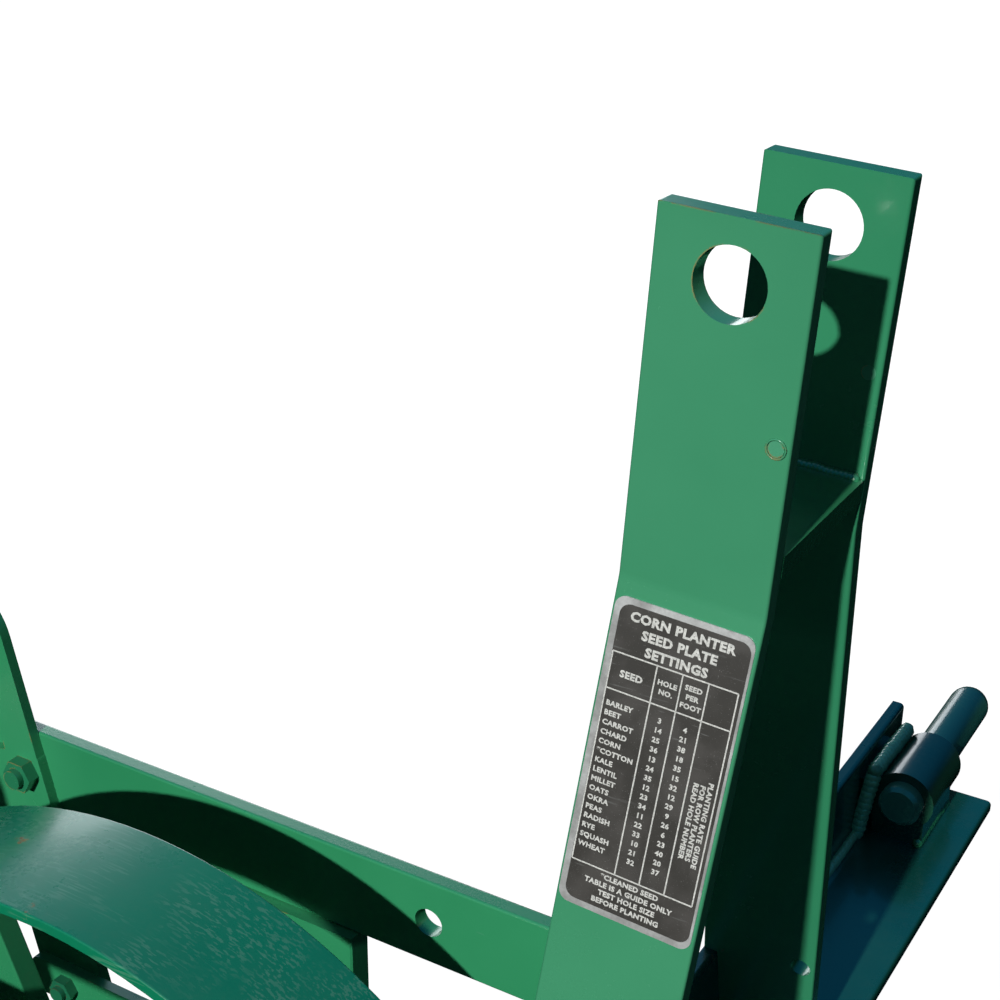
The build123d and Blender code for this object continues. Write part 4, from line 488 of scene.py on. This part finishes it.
letter_ink, tree, shader, vector = start("chart_letter_ink")
patchy = ramp(tree, noise(tree, vector, 1500.0, 2.0, 0.7), 0.3, 0.75)
pale = blend_colour(tree, patchy, (0.44, 0.45, 0.43, 1), (0.70, 0.71, 0.68, 1))
tree.links.new(pale, shader["Base Color"])
tree.links.new(ramp(tree, patchy, 0.0, 1.0, 0.55, 0.4), shader["Roughness"])

SPLAY = math.radians(12.0)
chart_down = Vector(
    (-math.sin(LEAN) * math.cos(SPLAY), -math.sin(SPLAY), -math.cos(LEAN) * math.cos(SPLAY)))
chart_across = Vector((math.cos(LEAN), 0, -math.sin(LEAN)))
chart_out = Vector((math.sin(SPLAY) * math.sin(LEAN), -math.cos(SPLAY), math.sin(SPLAY) * math.cos(LEAN)))
chart_low, chart_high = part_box("seed_chart_plate")
CHART_W, CHART_H, CHART_T = 0.0486, 0.1085, 0.0005
chart_frame = Matrix.Translation((chart_low + chart_high) / 2 + chart_out * CHART_T / 2) @ Matrix(
    (chart_across, -chart_down, chart_out)).transposed().to_4x4()


def on_chart(u, v):
    """A place on the label, as shares of its width and height from the top left."""
    return (u - 0.5) * CHART_W, (0.5 - v) * CHART_H


def lay_on_chart(name, material):
    """Moves the finished flat piece from its drawing plane to the label."""
    piece = bpy.context.object
    bpy.ops.object.transform_apply(location=True, rotation=True, scale=True)
    piece.matrix_world = chart_frame
    return settle(name, material, "frame", 20)


def panel(left, top, right, bottom, lift, corner):
    """A thin flat plate between two corners, given as distances in the drawing plane."""
    bpy.ops.object.select_all(action="DESELECT")
    bpy.ops.mesh.primitive_plane_add(size=1, location=((left + right) / 2, (top + bottom) / 2, lift))
    bpy.context.object.scale = (right - left, top - bottom, 1)
    bpy.ops.object.transform_apply(location=False, rotation=False, scale=True)
    bpy.ops.object.mode_set(mode="EDIT")
    bpy.ops.mesh.select_all(action="SELECT")
    if corner:
        bpy.ops.mesh.bevel(offset=corner, segments=8, affect="VERTICES")
        bpy.ops.mesh.select_all(action="SELECT")
    bpy.ops.mesh.extrude_region_move(TRANSFORM_OT_translate={"value": (0, 0, 0.00004)})
    bpy.ops.mesh.select_all(action="SELECT")
    bpy.ops.mesh.normals_make_consistent(inside=False)
    bpy.ops.object.mode_set(mode="OBJECT")
    return bpy.context.object


def join_as(name, pieces, material):
    """Joins flat pieces and lays them on the label."""
    bpy.ops.object.select_all(action="DESELECT")
    for one in pieces:
        bpy.context.view_layer.objects.active = one
        one.select_set(True)
        bpy.ops.object.transform_apply(location=True, rotation=True, scale=True)
        one.select_set(False)
    for one in pieces:
        one.select_set(True)
    bpy.context.view_layer.objects.active = pieces[0]
    bpy.ops.object.join()
    return lay_on_chart(name, material)


half_w, half_h, EDGE = CHART_W / 2, CHART_H / 2, 0.0022
panel(-half_w + EDGE, half_h - EDGE, half_w - 0.0009, -half_h + EDGE, 0.00002, 0.0038)
lay_on_chart("chart_panel", panel_ink)

RULE = 0.00048
left, top = on_chart(0.052, 0.173)
right, bottom = on_chart(0.955, 0.855)
header = on_chart(0, 0.29)[1]
rules = [panel(left, y + RULE / 2, right, y - RULE / 2, 0.00008, 0) for y in (top, header, bottom)]
rules += [
    panel(x - RULE / 2, top, x + RULE / 2, bottom, 0.00008, 0)
    for x in (left, on_chart(0.379, 0)[0], on_chart(0.564, 0)[0], on_chart(0.749, 0)[0], right)
]
join_as("chart_rules", rules, letter_ink)


def letters(words, u, v, cap, align="CENTER", turn=0.0, bold=0.0):
    """One line of lettering, with its capital height, centred on its height."""
    bpy.ops.object.select_all(action="DESELECT")
    x, y = on_chart(u, v)
    bpy.ops.object.text_add(location=(x, y, 0.00009), rotation=(0, 0, turn))
    line = bpy.context.object
    line.data.body = words
    line.data.size = cap / 0.72
    line.data.align_x, line.data.align_y = align, "CENTER"
    line.data.resolution_u = 2
    line.data.offset = bold
    line.data.space_character = 1.08
    line.scale = (1.08, 1, 1)
    line.data.extrude = 0.00002
    bpy.ops.object.convert(target="MESH")
    return bpy.context.object


TITLE, HEAD, ROW, NOTE, BOLD = 0.0031, 0.0023, 0.00175, 0.0018, 0.00010
NUMBER_AT, RATE_AT = 0.471, 0.656
FIRST_ROW, ROW_STEP = 0.335, 0.0308
lines = [
    letters(words, 0.5, v, TITLE, bold=0.00020)
    for words, v in (("CORN PLANTER", 0.054), ("SEED PLATE", 0.101), ("SETTINGS", 0.148))
]
lines.append(letters("SEED", 0.215, 0.235, HEAD, bold=0.00014))
lines += [
    letters(words, u, v, HEAD * 0.74, bold=BOLD)
    for words, u, v in (
        ("HOLE", NUMBER_AT, 0.220),
        ("NO.", NUMBER_AT, 0.248),
        ("SEED", RATE_AT, 0.207),
        ("PER", RATE_AT, 0.235),
        ("FOOT", RATE_AT, 0.263),
    )
]
crops = (
    "BARLEY BEET CARROT CHARD CORN *COTTON KALE LENTIL "
    "MILLET OATS OKRA PEAS RADISH RYE SQUASH WHEAT"
).split()
for row, crop in enumerate(crops):
    v = FIRST_ROW + row * ROW_STEP
    lines.append(letters(crop, 0.075, v, ROW, "LEFT", bold=BOLD))
    lines.append(letters(str(3 + (row * 11) % 34), NUMBER_AT, v, ROW, bold=BOLD))
    lines.append(letters(str(4 + (row * 17) % 37), RATE_AT, v, ROW, bold=BOLD))
lines += [
    letters(words, u, 0.60, ROW, turn=-math.pi / 2, bold=BOLD)
    for words, u in (
        ("PLANTING RATE GUIDE", 0.905),
        ("FOR ROW PLANTERS", 0.855),
        ("READ HOLE NUMBER", 0.805),
    )
]
lines += [
    letters(words, 0.5, v, NOTE, bold=0.00011)
    for words, v in (
        ("*CLEANED SEED", 0.876),
        ("TABLE IS A GUIDE ONLY", 0.903),
        ("TEST HOLE SIZE", 0.930),
        ("BEFORE PLANTING", 0.957),
    )
]
join_as("chart_lettering", lines, letter_ink)

# ------------------------------------------------------------------ hitch cross angle
# A rolled steel angle across the front carries the lower-link bushings. It is welded
# under the mast's feet and across both rails. Its coat is painted darker and bluer
# than theirs: painted shade and painted sky reflection.
angle_painted_shade_enamel = enamel(
    "angle_painted_shade_enamel", (0.006, 0.085, 0.062), (0.003, 0.060, 0.050),
    peel=0.6, worn=0.38, dust=0.04, rust=0.10)
dress(angle_painted_shade_enamel, "hitch_cross_angle")
rail_low, rail_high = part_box("rail_left")
under_z = angle_low.z - 0.0008
welds("cross_angle_welds", "frame", [
    ((angle_low.x + 0.004, s * y, under_z), (angle_high.x - 0.004, s * y, under_z))
    for s in (1, -1)
    for y in (rail_low.y - 0.0008, rail_high.y + 0.0008)
], 0.0028)

# ------------------------------------------------------------------ lower-link bushings and pins
# Thick-walled bushings are welded into the angle's corner and each holds a turned pin
# with a domed end. Both were sprayed with the frame, and the links have scuffed the pins.
# The bushings' enamel is painted near black-green, darker than the frame they were sprayed with: painted
# shade.
bushing_painted_shade_enamel = enamel(
    "bushing_painted_shade_enamel", (0.012, 0.100, 0.052), (0.006, 0.050, 0.030),
    peel=0.9, worn=0.4, dust=0.12, rust=0.12)
dress(bushing_painted_shade_enamel, "hitch_bushings")
# The pins' enamel is painted lighter and bluer than the frame's: painted light and painted sky reflection.
# Its scratches are real scuffs.
pin_painted_light_enamel = enamel(
    "pin_painted_light_enamel", (0.060, 0.300, 0.210), (0.030, 0.220, 0.180),
    peel=0.4, worn=0.5, dust=0.1, scuffs=0.7, rust=0.08)
dress(pin_painted_light_enamel, "hitch_pins")
# The corner run along the angle's root and the beads over the bushings get a pale green enamel: painted
# highlight.
weld_painted_highlight_enamel = enamel(
    "weld_painted_highlight_enamel", (0.200, 0.620, 0.420), (0.140, 0.520, 0.340),
    peel=0.6, nibs=0.8, worn=0.1, dust=0, rust=0.04)
BUSH_LENGTH, ANGLE_WALL = 0.046, 0.0064
bush_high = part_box("hitch_bushings")[1]
bush_in = bush_high.y - BUSH_LENGTH
corner_x, corner_z = angle_low.x + ANGLE_WALL, angle_low.z + ANGLE_WALL
bead_route = [
    (corner_x + 0.002, 0.112, corner_z + 0.002),
    (corner_x + 0.002, bush_in - 0.008, corner_z + 0.002),
    (corner_x + 0.006, bush_in - 0.001, bush_high.z - 0.003),
    (corner_x + 0.0075, bush_high.y - 0.002, bush_high.z - 0.0015),
]
for side, s in (("left", 1), ("right", -1)):
    path = [(x, s * y, z) for x, y, z in bead_route]
    welds("corner_weld_" + side, "frame", [path[0:2]], 0.0026, weld_painted_highlight_enamel)
    welds("bushing_weld_" + side, "frame", [path[1:3], path[2:4]], 0.0042, weld_painted_highlight_enamel)
    foot = [
        (bush_high.x - 0.006, s * y, angle_low.z + 0.0075)
        for y in (bush_in + 0.001, bush_high.y - 0.001)
    ]
    welds("bushing_foot_weld_" + side, "frame", [foot], 0.0030)

# ------------------------------------------------------------------ drive wheel
# A rolled flat-bar tyre on flat-bar spokes around a turned hub, all welded. Soil rubs
# fine scratches around the tread and scrapes its edges down to rust.
tread_enamel = enamel(
    "tread_enamel", (0.004, 0.205, 0.100), (0.003, 0.180, 0.088),
    peel=0.5, nibs=0.5, worn=0.55, dust=0.05, rust=0.20, scuffs=0.85)
dress(tread_enamel, "drive_wheel_rim", "press_wheel")
spoke_enamel = enamel("spoke_enamel", GREEN, DEEP_GREEN, worn=0.42, dust=0.30, rust=0.10, scuffs=0.3)
dress(spoke_enamel, "drive_wheel_spokes", "drive_wheel_hub", "drive_pulley", "agitator_pulley")
rim_low, rim_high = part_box("drive_wheel_rim")
hub_low, hub_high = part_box("drive_wheel_hub")
axle_x, axle_z = (rim_low.x + rim_high.x) / 2, (rim_low.z + rim_high.z) / 2
SPOKES, FIRST_SPOKE, SPOKE_SIDE, SPOKE_HALF = 6, 51, 0.0072, 0.011
rim_reach = (rim_high.x - rim_low.x) / 2 - 0.0078
hub_reach = (hub_high.x - hub_low.x) / 2 + 0.0008
spoke_runs = []
for k in range(SPOKES):
    turn = math.radians(FIRST_SPOKE + 360 / SPOKES * k)
    along = Vector((math.cos(turn), 0, math.sin(turn)))
    beside = Vector((-math.sin(turn), 0, math.cos(turn)))
    for reach in (rim_reach, hub_reach):
        for s in (1, -1):
            middle = Vector((axle_x, s * SPOKE_SIDE, axle_z)) + along * reach
            spoke_runs.append((middle - beside * SPOKE_HALF, middle + beside * SPOKE_HALF))
welds("spoke_welds", "drive_wheel", spoke_runs, 0.0026)

# ------------------------------------------------------------------ axle hangers, braces and cross tubes
# Plates under the rails hold the axle, flat-bar braces lean to the hopper's band, and
# round tubes tie the two rails. All are sheared or sawn, welded or bolted, and sprayed.
plate_enamel = enamel("plate_enamel", GREEN, DEEP_GREEN, worn=0.44, dust=0.08, rust=0.12, scuffs=0.1)
dress(plate_enamel, "axle_hangers", "hanger_ties", "hopper_brace_left", "hopper_brace_right", "idler_arm",
      "front_cross_tube", "rear_cross_tube", "opener_clamp", "opener_shank", "press_arms", "press_arm_tie")
# The frame bolts' enamel is painted darker than the plates they hold: painted shade.
bolt_painted_shade_enamel = enamel(
    "sprayed_bolt_enamel", (0.016, 0.180, 0.082), (0.010, 0.120, 0.060),
    peel=0.4, worn=0.55, dust=0.10, rust=0.12)
dress(bolt_painted_shade_enamel, "frame_bolts")
hang_low, hang_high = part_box("axle_hangers")
welds("hanger_welds", "frame", [
    ((hang_low.x + 0.006, s * (hang_high.y + 0.0004), hang_high.z - 0.0004),
     (hang_high.x - 0.006, s * (hang_high.y + 0.0004), hang_high.z - 0.0004))
    for s in (1, -1)
], 0.0024)
for label in ("front", "rear"):
    tube_low, tube_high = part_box(label + "_cross_tube")
    for side, s in (("left", 1), ("right", -1)):
        bpy.ops.mesh.primitive_torus_add(
            major_segments=72, minor_segments=8, major_radius=(tube_high.x - tube_low.x) / 2 + 0.0005,
            minor_radius=0.0026, rotation=(math.pi / 2, 0, 0),
            location=(
                (tube_low.x + tube_high.x) / 2,
                s * (tube_high.y - 0.001),
                (tube_low.z + tube_high.z) / 2))
        uneven = bpy.context.object.modifiers.new("uneven", "DISPLACE")
        uneven.texture, uneven.strength = ripple, 0.0011
        apply_all()
        settle(label + "_tube_weld_" + side, weld_enamel, "frame", 70)

# ------------------------------------------------------------------ castings
# The hopper base, funnel and axle bearings are grey iron from sand moulds. The sand's
# grain shows through the enamel, and rust starts where the film is thin.
casting, tree, shader, vector = start("cast_iron_enamel")
sand = noise(tree, vector, 330.0, 5.0, 0.7)
lump = noise(tree, vector, 60.0, 3.0, 0.55)
rusty = use(tree, "rust_bloom", Vector=vector, Cover=0.20, Scale=55.0)
dusty = use(tree, "settled_dust", Vector=vector, Amount=0.4)["Mask"]
worn_off = use(tree, "worn_edge", Vector=vector, Cover=0.4)["Mask"]
paint = blend_colour(tree, ramp(tree, lump, 0.3, 0.7), (0.012, 0.150, 0.070, 1), (0.020, 0.215, 0.095, 1))
paint = blend_colour(tree, worn_off, paint, (0.07, 0.062, 0.055, 1))
paint = blend_colour(tree, rusty["Mask"], paint, rusty["Colour"])
tree.links.new(blend_colour(tree, dusty, paint, (0.20, 0.18, 0.14, 1)), shader["Base Color"])
tree.links.new(ramp(tree, sand, 0.3, 0.7, 0.38, 0.6), shader["Roughness"])
skin = sums(tree, "ADD", sums(tree, "MULTIPLY", sand, 0.6), sums(tree, "MULTIPLY", lump, 0.4))
emboss(tree, shader, skin, 0.7, 0.0007)
dress(casting, "hopper_base", "seed_funnel", "axle_bearings")

# ------------------------------------------------------------------ hopper, lid and band
# The hopper is rolled sheet with a folded lock seam and two rolled beads, under a
# pressed lid on a strap hinge. A bolted band ties it to the braces.
sheet_enamel = enamel(
    "sheet_enamel", (0.026, 0.250, 0.108), (0.020, 0.220, 0.094),
    peel=0.35, nibs=0.3, worn=0.4, dust=0.45, rust=0.04, scuffs=0.4)
dress(sheet_enamel, "hopper_shell", "hopper_lid", "hopper_band", "lid_hinge")
shell_low, shell_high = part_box("hopper_shell")
hopper_x, shell_r = (shell_low.x + shell_high.x) / 2, (shell_high.y - shell_low.y) / 2
BEAD_HEIGHTS = (("lower", 0.585), ("upper", 0.700))
SEAM_MIDDLE, SEAM_TALL = 0.650, 0.190
for label, height in BEAD_HEIGHTS:
    bpy.ops.mesh.primitive_torus_add(
        major_segments=128, minor_segments=10, major_radius=shell_r - 0.0005,
        minor_radius=0.0022, location=(hopper_x, 0, height))
    bpy.context.object.scale = (1, 1, 1.5)
    settle("hopper_rolled_bead_" + label, sheet_enamel, "frame")
bpy.ops.mesh.primitive_cube_add(size=1, location=(hopper_x, shell_r + 0.0004, SEAM_MIDDLE))
bpy.context.object.scale = (0.009, 0.0016, SEAM_TALL)
bpy.ops.object.transform_apply(location=False, rotation=False, scale=True)
fold = bpy.context.object.modifiers.new("fold", "BEVEL")
fold.width, fold.segments = 0.0006, 3
apply_all()
settle("hopper_lock_seam", sheet_enamel, "frame")

# ------------------------------------------------------------------ lid knob
# The knob is a turned ball of black phenolic, moulded with a faint parting line and
# screwed on through the lid. Handling has dulled its top.
phenolic, tree, shader, vector = start("knob_phenolic")
handled = ramp(tree, noise(tree, vector, 90.0, 3.0), 0.35, 0.7)
black = blend_colour(tree, handled, (0.012, 0.012, 0.012, 1), (0.030, 0.029, 0.027, 1))
tree.links.new(black, shader["Base Color"])
tree.links.new(ramp(tree, handled, 0.0, 1.0, 0.18, 0.42), shader["Roughness"])
dress(phenolic, "lid_knob")

# ------------------------------------------------------------------ seed plate, gate and tube
# The seed plate and gate are stamped from zinc-plated sheet and the tube is drawn.
# The plating is spangled, with white bloom in the hollows and rubbed tracks.
zinc, tree, shader, vector = start("plated_sheet")
spangle = put(tree, "ShaderNodeTexVoronoi", {"feature": "F1"}, Vector=vector, Scale=160.0).outputs["Color"]
tone = put(tree, "ShaderNodeSeparateColor", None, Color=spangle).outputs[0]
bloom = ramp(tree, noise(tree, vector, 40.0, 5.0, 0.6), 0.55, 0.72)
track = use(tree, "fine_scratches", Vector=vector, Cover=0.8)["Mask"]
plate = blend_colour(tree, tone, (0.46, 0.47, 0.48, 1), (0.62, 0.63, 0.64, 1))
plate = blend_colour(tree, sums(tree, "MULTIPLY", bloom, 0.6), plate, (0.60, 0.60, 0.57, 1))
plate = blend_colour(tree, sums(tree, "MULTIPLY", track, 0.5), plate, (0.30, 0.29, 0.28, 1))
tree.links.new(plate, shader["Base Color"])
tree.links.new(ramp(tree, tone, 0.0, 1.0, 0.28, 0.48), shader["Roughness"])
tree.links.new(sums(tree, "SUBTRACT", 0.95, sums(tree, "MULTIPLY", bloom, 0.5)), shader["Metallic"])
dress(zinc, "seed_plate", "shut_off_gate", "seed_tube")

# ------------------------------------------------------------------ bolts and collars
# Pivot bolts, collars and set screws carry bright zinc with a faint yellow passivate.
# Spanners have chafed the corners and grime sits in the threads.
bolt_zinc, tree, shader, vector = start("bolt_zinc")
tint = ramp(tree, noise(tree, vector, 120.0, 3.0), 0.35, 0.7)
grime = ramp(tree, noise(tree, vector, 300.0, 4.0, 0.7), 0.56, 0.70)
chafed = use(tree, "worn_edge", Vector=vector, Cover=0.8, Width=0.0006)["Mask"]
coat = blend_colour(tree, tint, (0.50, 0.50, 0.46, 1), (0.62, 0.58, 0.44, 1))
coat = blend_colour(tree, sums(tree, "MULTIPLY", grime, 0.6), coat, (0.10, 0.09, 0.07, 1))
tree.links.new(blend_colour(tree, chafed, coat, (0.70, 0.70, 0.68, 1)), shader["Base Color"])
tree.links.new(ramp(tree, grime, 0.0, 1.0, 0.30, 0.65), shader["Roughness"])
shader["Metallic"].default_value = 0.9
dress(bolt_zinc, "arm_pivot_bolts", "shoe_bolts", "opener_set_screw", "plate_centre_bolt",
      "plate_wing_nut", "press_axle", "idler_axle_bolt", "lid_hinge_pin", "axle_collar", "agitator_collar")

# ------------------------------------------------------------------ bright shafts
# The axle, agitator shaft, fingers, spacers and idler are bright drawn or turned steel,
# left bare. Fine turning rings and a thin brown bloom show on them.
bright, tree, shader, vector = start("bright_steel")
turned = put(
    tree, "ShaderNodeTexWave", {"bands_direction": "Y"},
    Vector=vector, Scale=420.0, Distortion=1.2, Detail=2.0)
rings = turned.outputs["Fac"]
stain = ramp(tree, noise(tree, vector, 50.0, 5.0, 0.62), 0.52, 0.74)
metal = blend_colour(tree, rings, (0.42, 0.42, 0.42, 1), (0.55, 0.55, 0.54, 1))
metal = blend_colour(tree, sums(tree, "MULTIPLY", stain, 0.7), metal, (0.20, 0.12, 0.07, 1))
tree.links.new(metal, shader["Base Color"])
tree.links.new(ramp(tree, stain, 0.0, 1.0, 0.26, 0.6), shader["Roughness"])
tree.links.new(sums(tree, "SUBTRACT", 1.0, sums(tree, "MULTIPLY", stain, 0.6)), shader["Metallic"])
emboss(tree, shader, rings, 0.2, 0.0001)
dress(bright, "drive_axle", "agitator_shaft", "agitator_fingers", "press_spacers", "idler_wheel")

# ------------------------------------------------------------------ drive belt
# A V-belt of black rubber wrapped in woven cotton, cured under pressure. The weave
# shows as a fine criss-cross and its edges have picked up dust.
rubber, tree, shader, vector = start("belt_wrap")
warp = put(tree, "ShaderNodeTexWave", {"bands_direction": "X"}, Vector=vector, Scale=260.0).outputs["Fac"]
weft = put(tree, "ShaderNodeTexWave", {"bands_direction": "Z"}, Vector=vector, Scale=260.0).outputs["Fac"]
weave = sums(tree, "MULTIPLY", warp, weft)
dusty = use(tree, "settled_dust", Vector=vector, Amount=0.5)["Mask"]
cloth = blend_colour(tree, weave, (0.016, 0.016, 0.016, 1), (0.036, 0.035, 0.033, 1))
tree.links.new(blend_colour(tree, dusty, cloth, (0.16, 0.145, 0.12, 1)), shader["Base Color"])
tree.links.new(ramp(tree, weave, 0.0, 1.0, 0.62, 0.82), shader["Roughness"])
emboss(tree, shader, weave, 0.5, 0.0002)
dress(rubber, "drive_belt")

# ------------------------------------------------------------------ soil-working steel
# Shoe, blades, tines and scrapers are spring or plough steel. Soil has polished the
# faces, scratched them along the travel and left rust and dried earth in the lee.
soil, tree, shader, vector = start("soil_steel")
rubbed = use(tree, "fine_scratches", Vector=vector, Cover=1.0, Length=0.05, Density=500.0)["Mask"]
rusty = use(tree, "rust_bloom", Vector=vector, Cover=0.42, Scale=26.0)
earth = use(tree, "settled_dust", Vector=vector, Amount=0.7, Grain=120.0)["Mask"]
shade = ramp(tree, noise(tree, vector, 24.0, 4.0), 0.35, 0.68)
steel = blend_colour(tree, shade, (0.20, 0.19, 0.18, 1), (0.34, 0.33, 0.31, 1))
steel = blend_colour(tree, sums(tree, "MULTIPLY", rubbed, 0.7), steel, (0.48, 0.47, 0.45, 1))
steel = blend_colour(tree, rusty["Mask"], steel, rusty["Colour"])
tree.links.new(blend_colour(tree, earth, steel, (0.13, 0.09, 0.055, 1)), shader["Base Color"])
crusted = sums(tree, "MULTIPLY", earth, 0.6)
coarse = sums(tree, "MAXIMUM", sums(tree, "MULTIPLY", rusty["Mask"], 0.5), crusted)
tree.links.new(sums(tree, "ADD", coarse, 0.30), shader["Roughness"])
tree.links.new(sums(tree, "SUBTRACT", 0.9, sums(tree, "MULTIPLY", coarse, 1.6)), shader["Metallic"])
grooves = sums(tree, "MULTIPLY", rubbed, 0.3)
relief = sums(tree, "ADD", sums(tree, "MULTIPLY", rusty["Height"], 0.6), grooves)
emboss(tree, shader, relief, 0.5, 0.0004)
dress(soil, "opener_shoe", "covering_blades", "covering_tines", "press_scraper", "wheel_scraper")
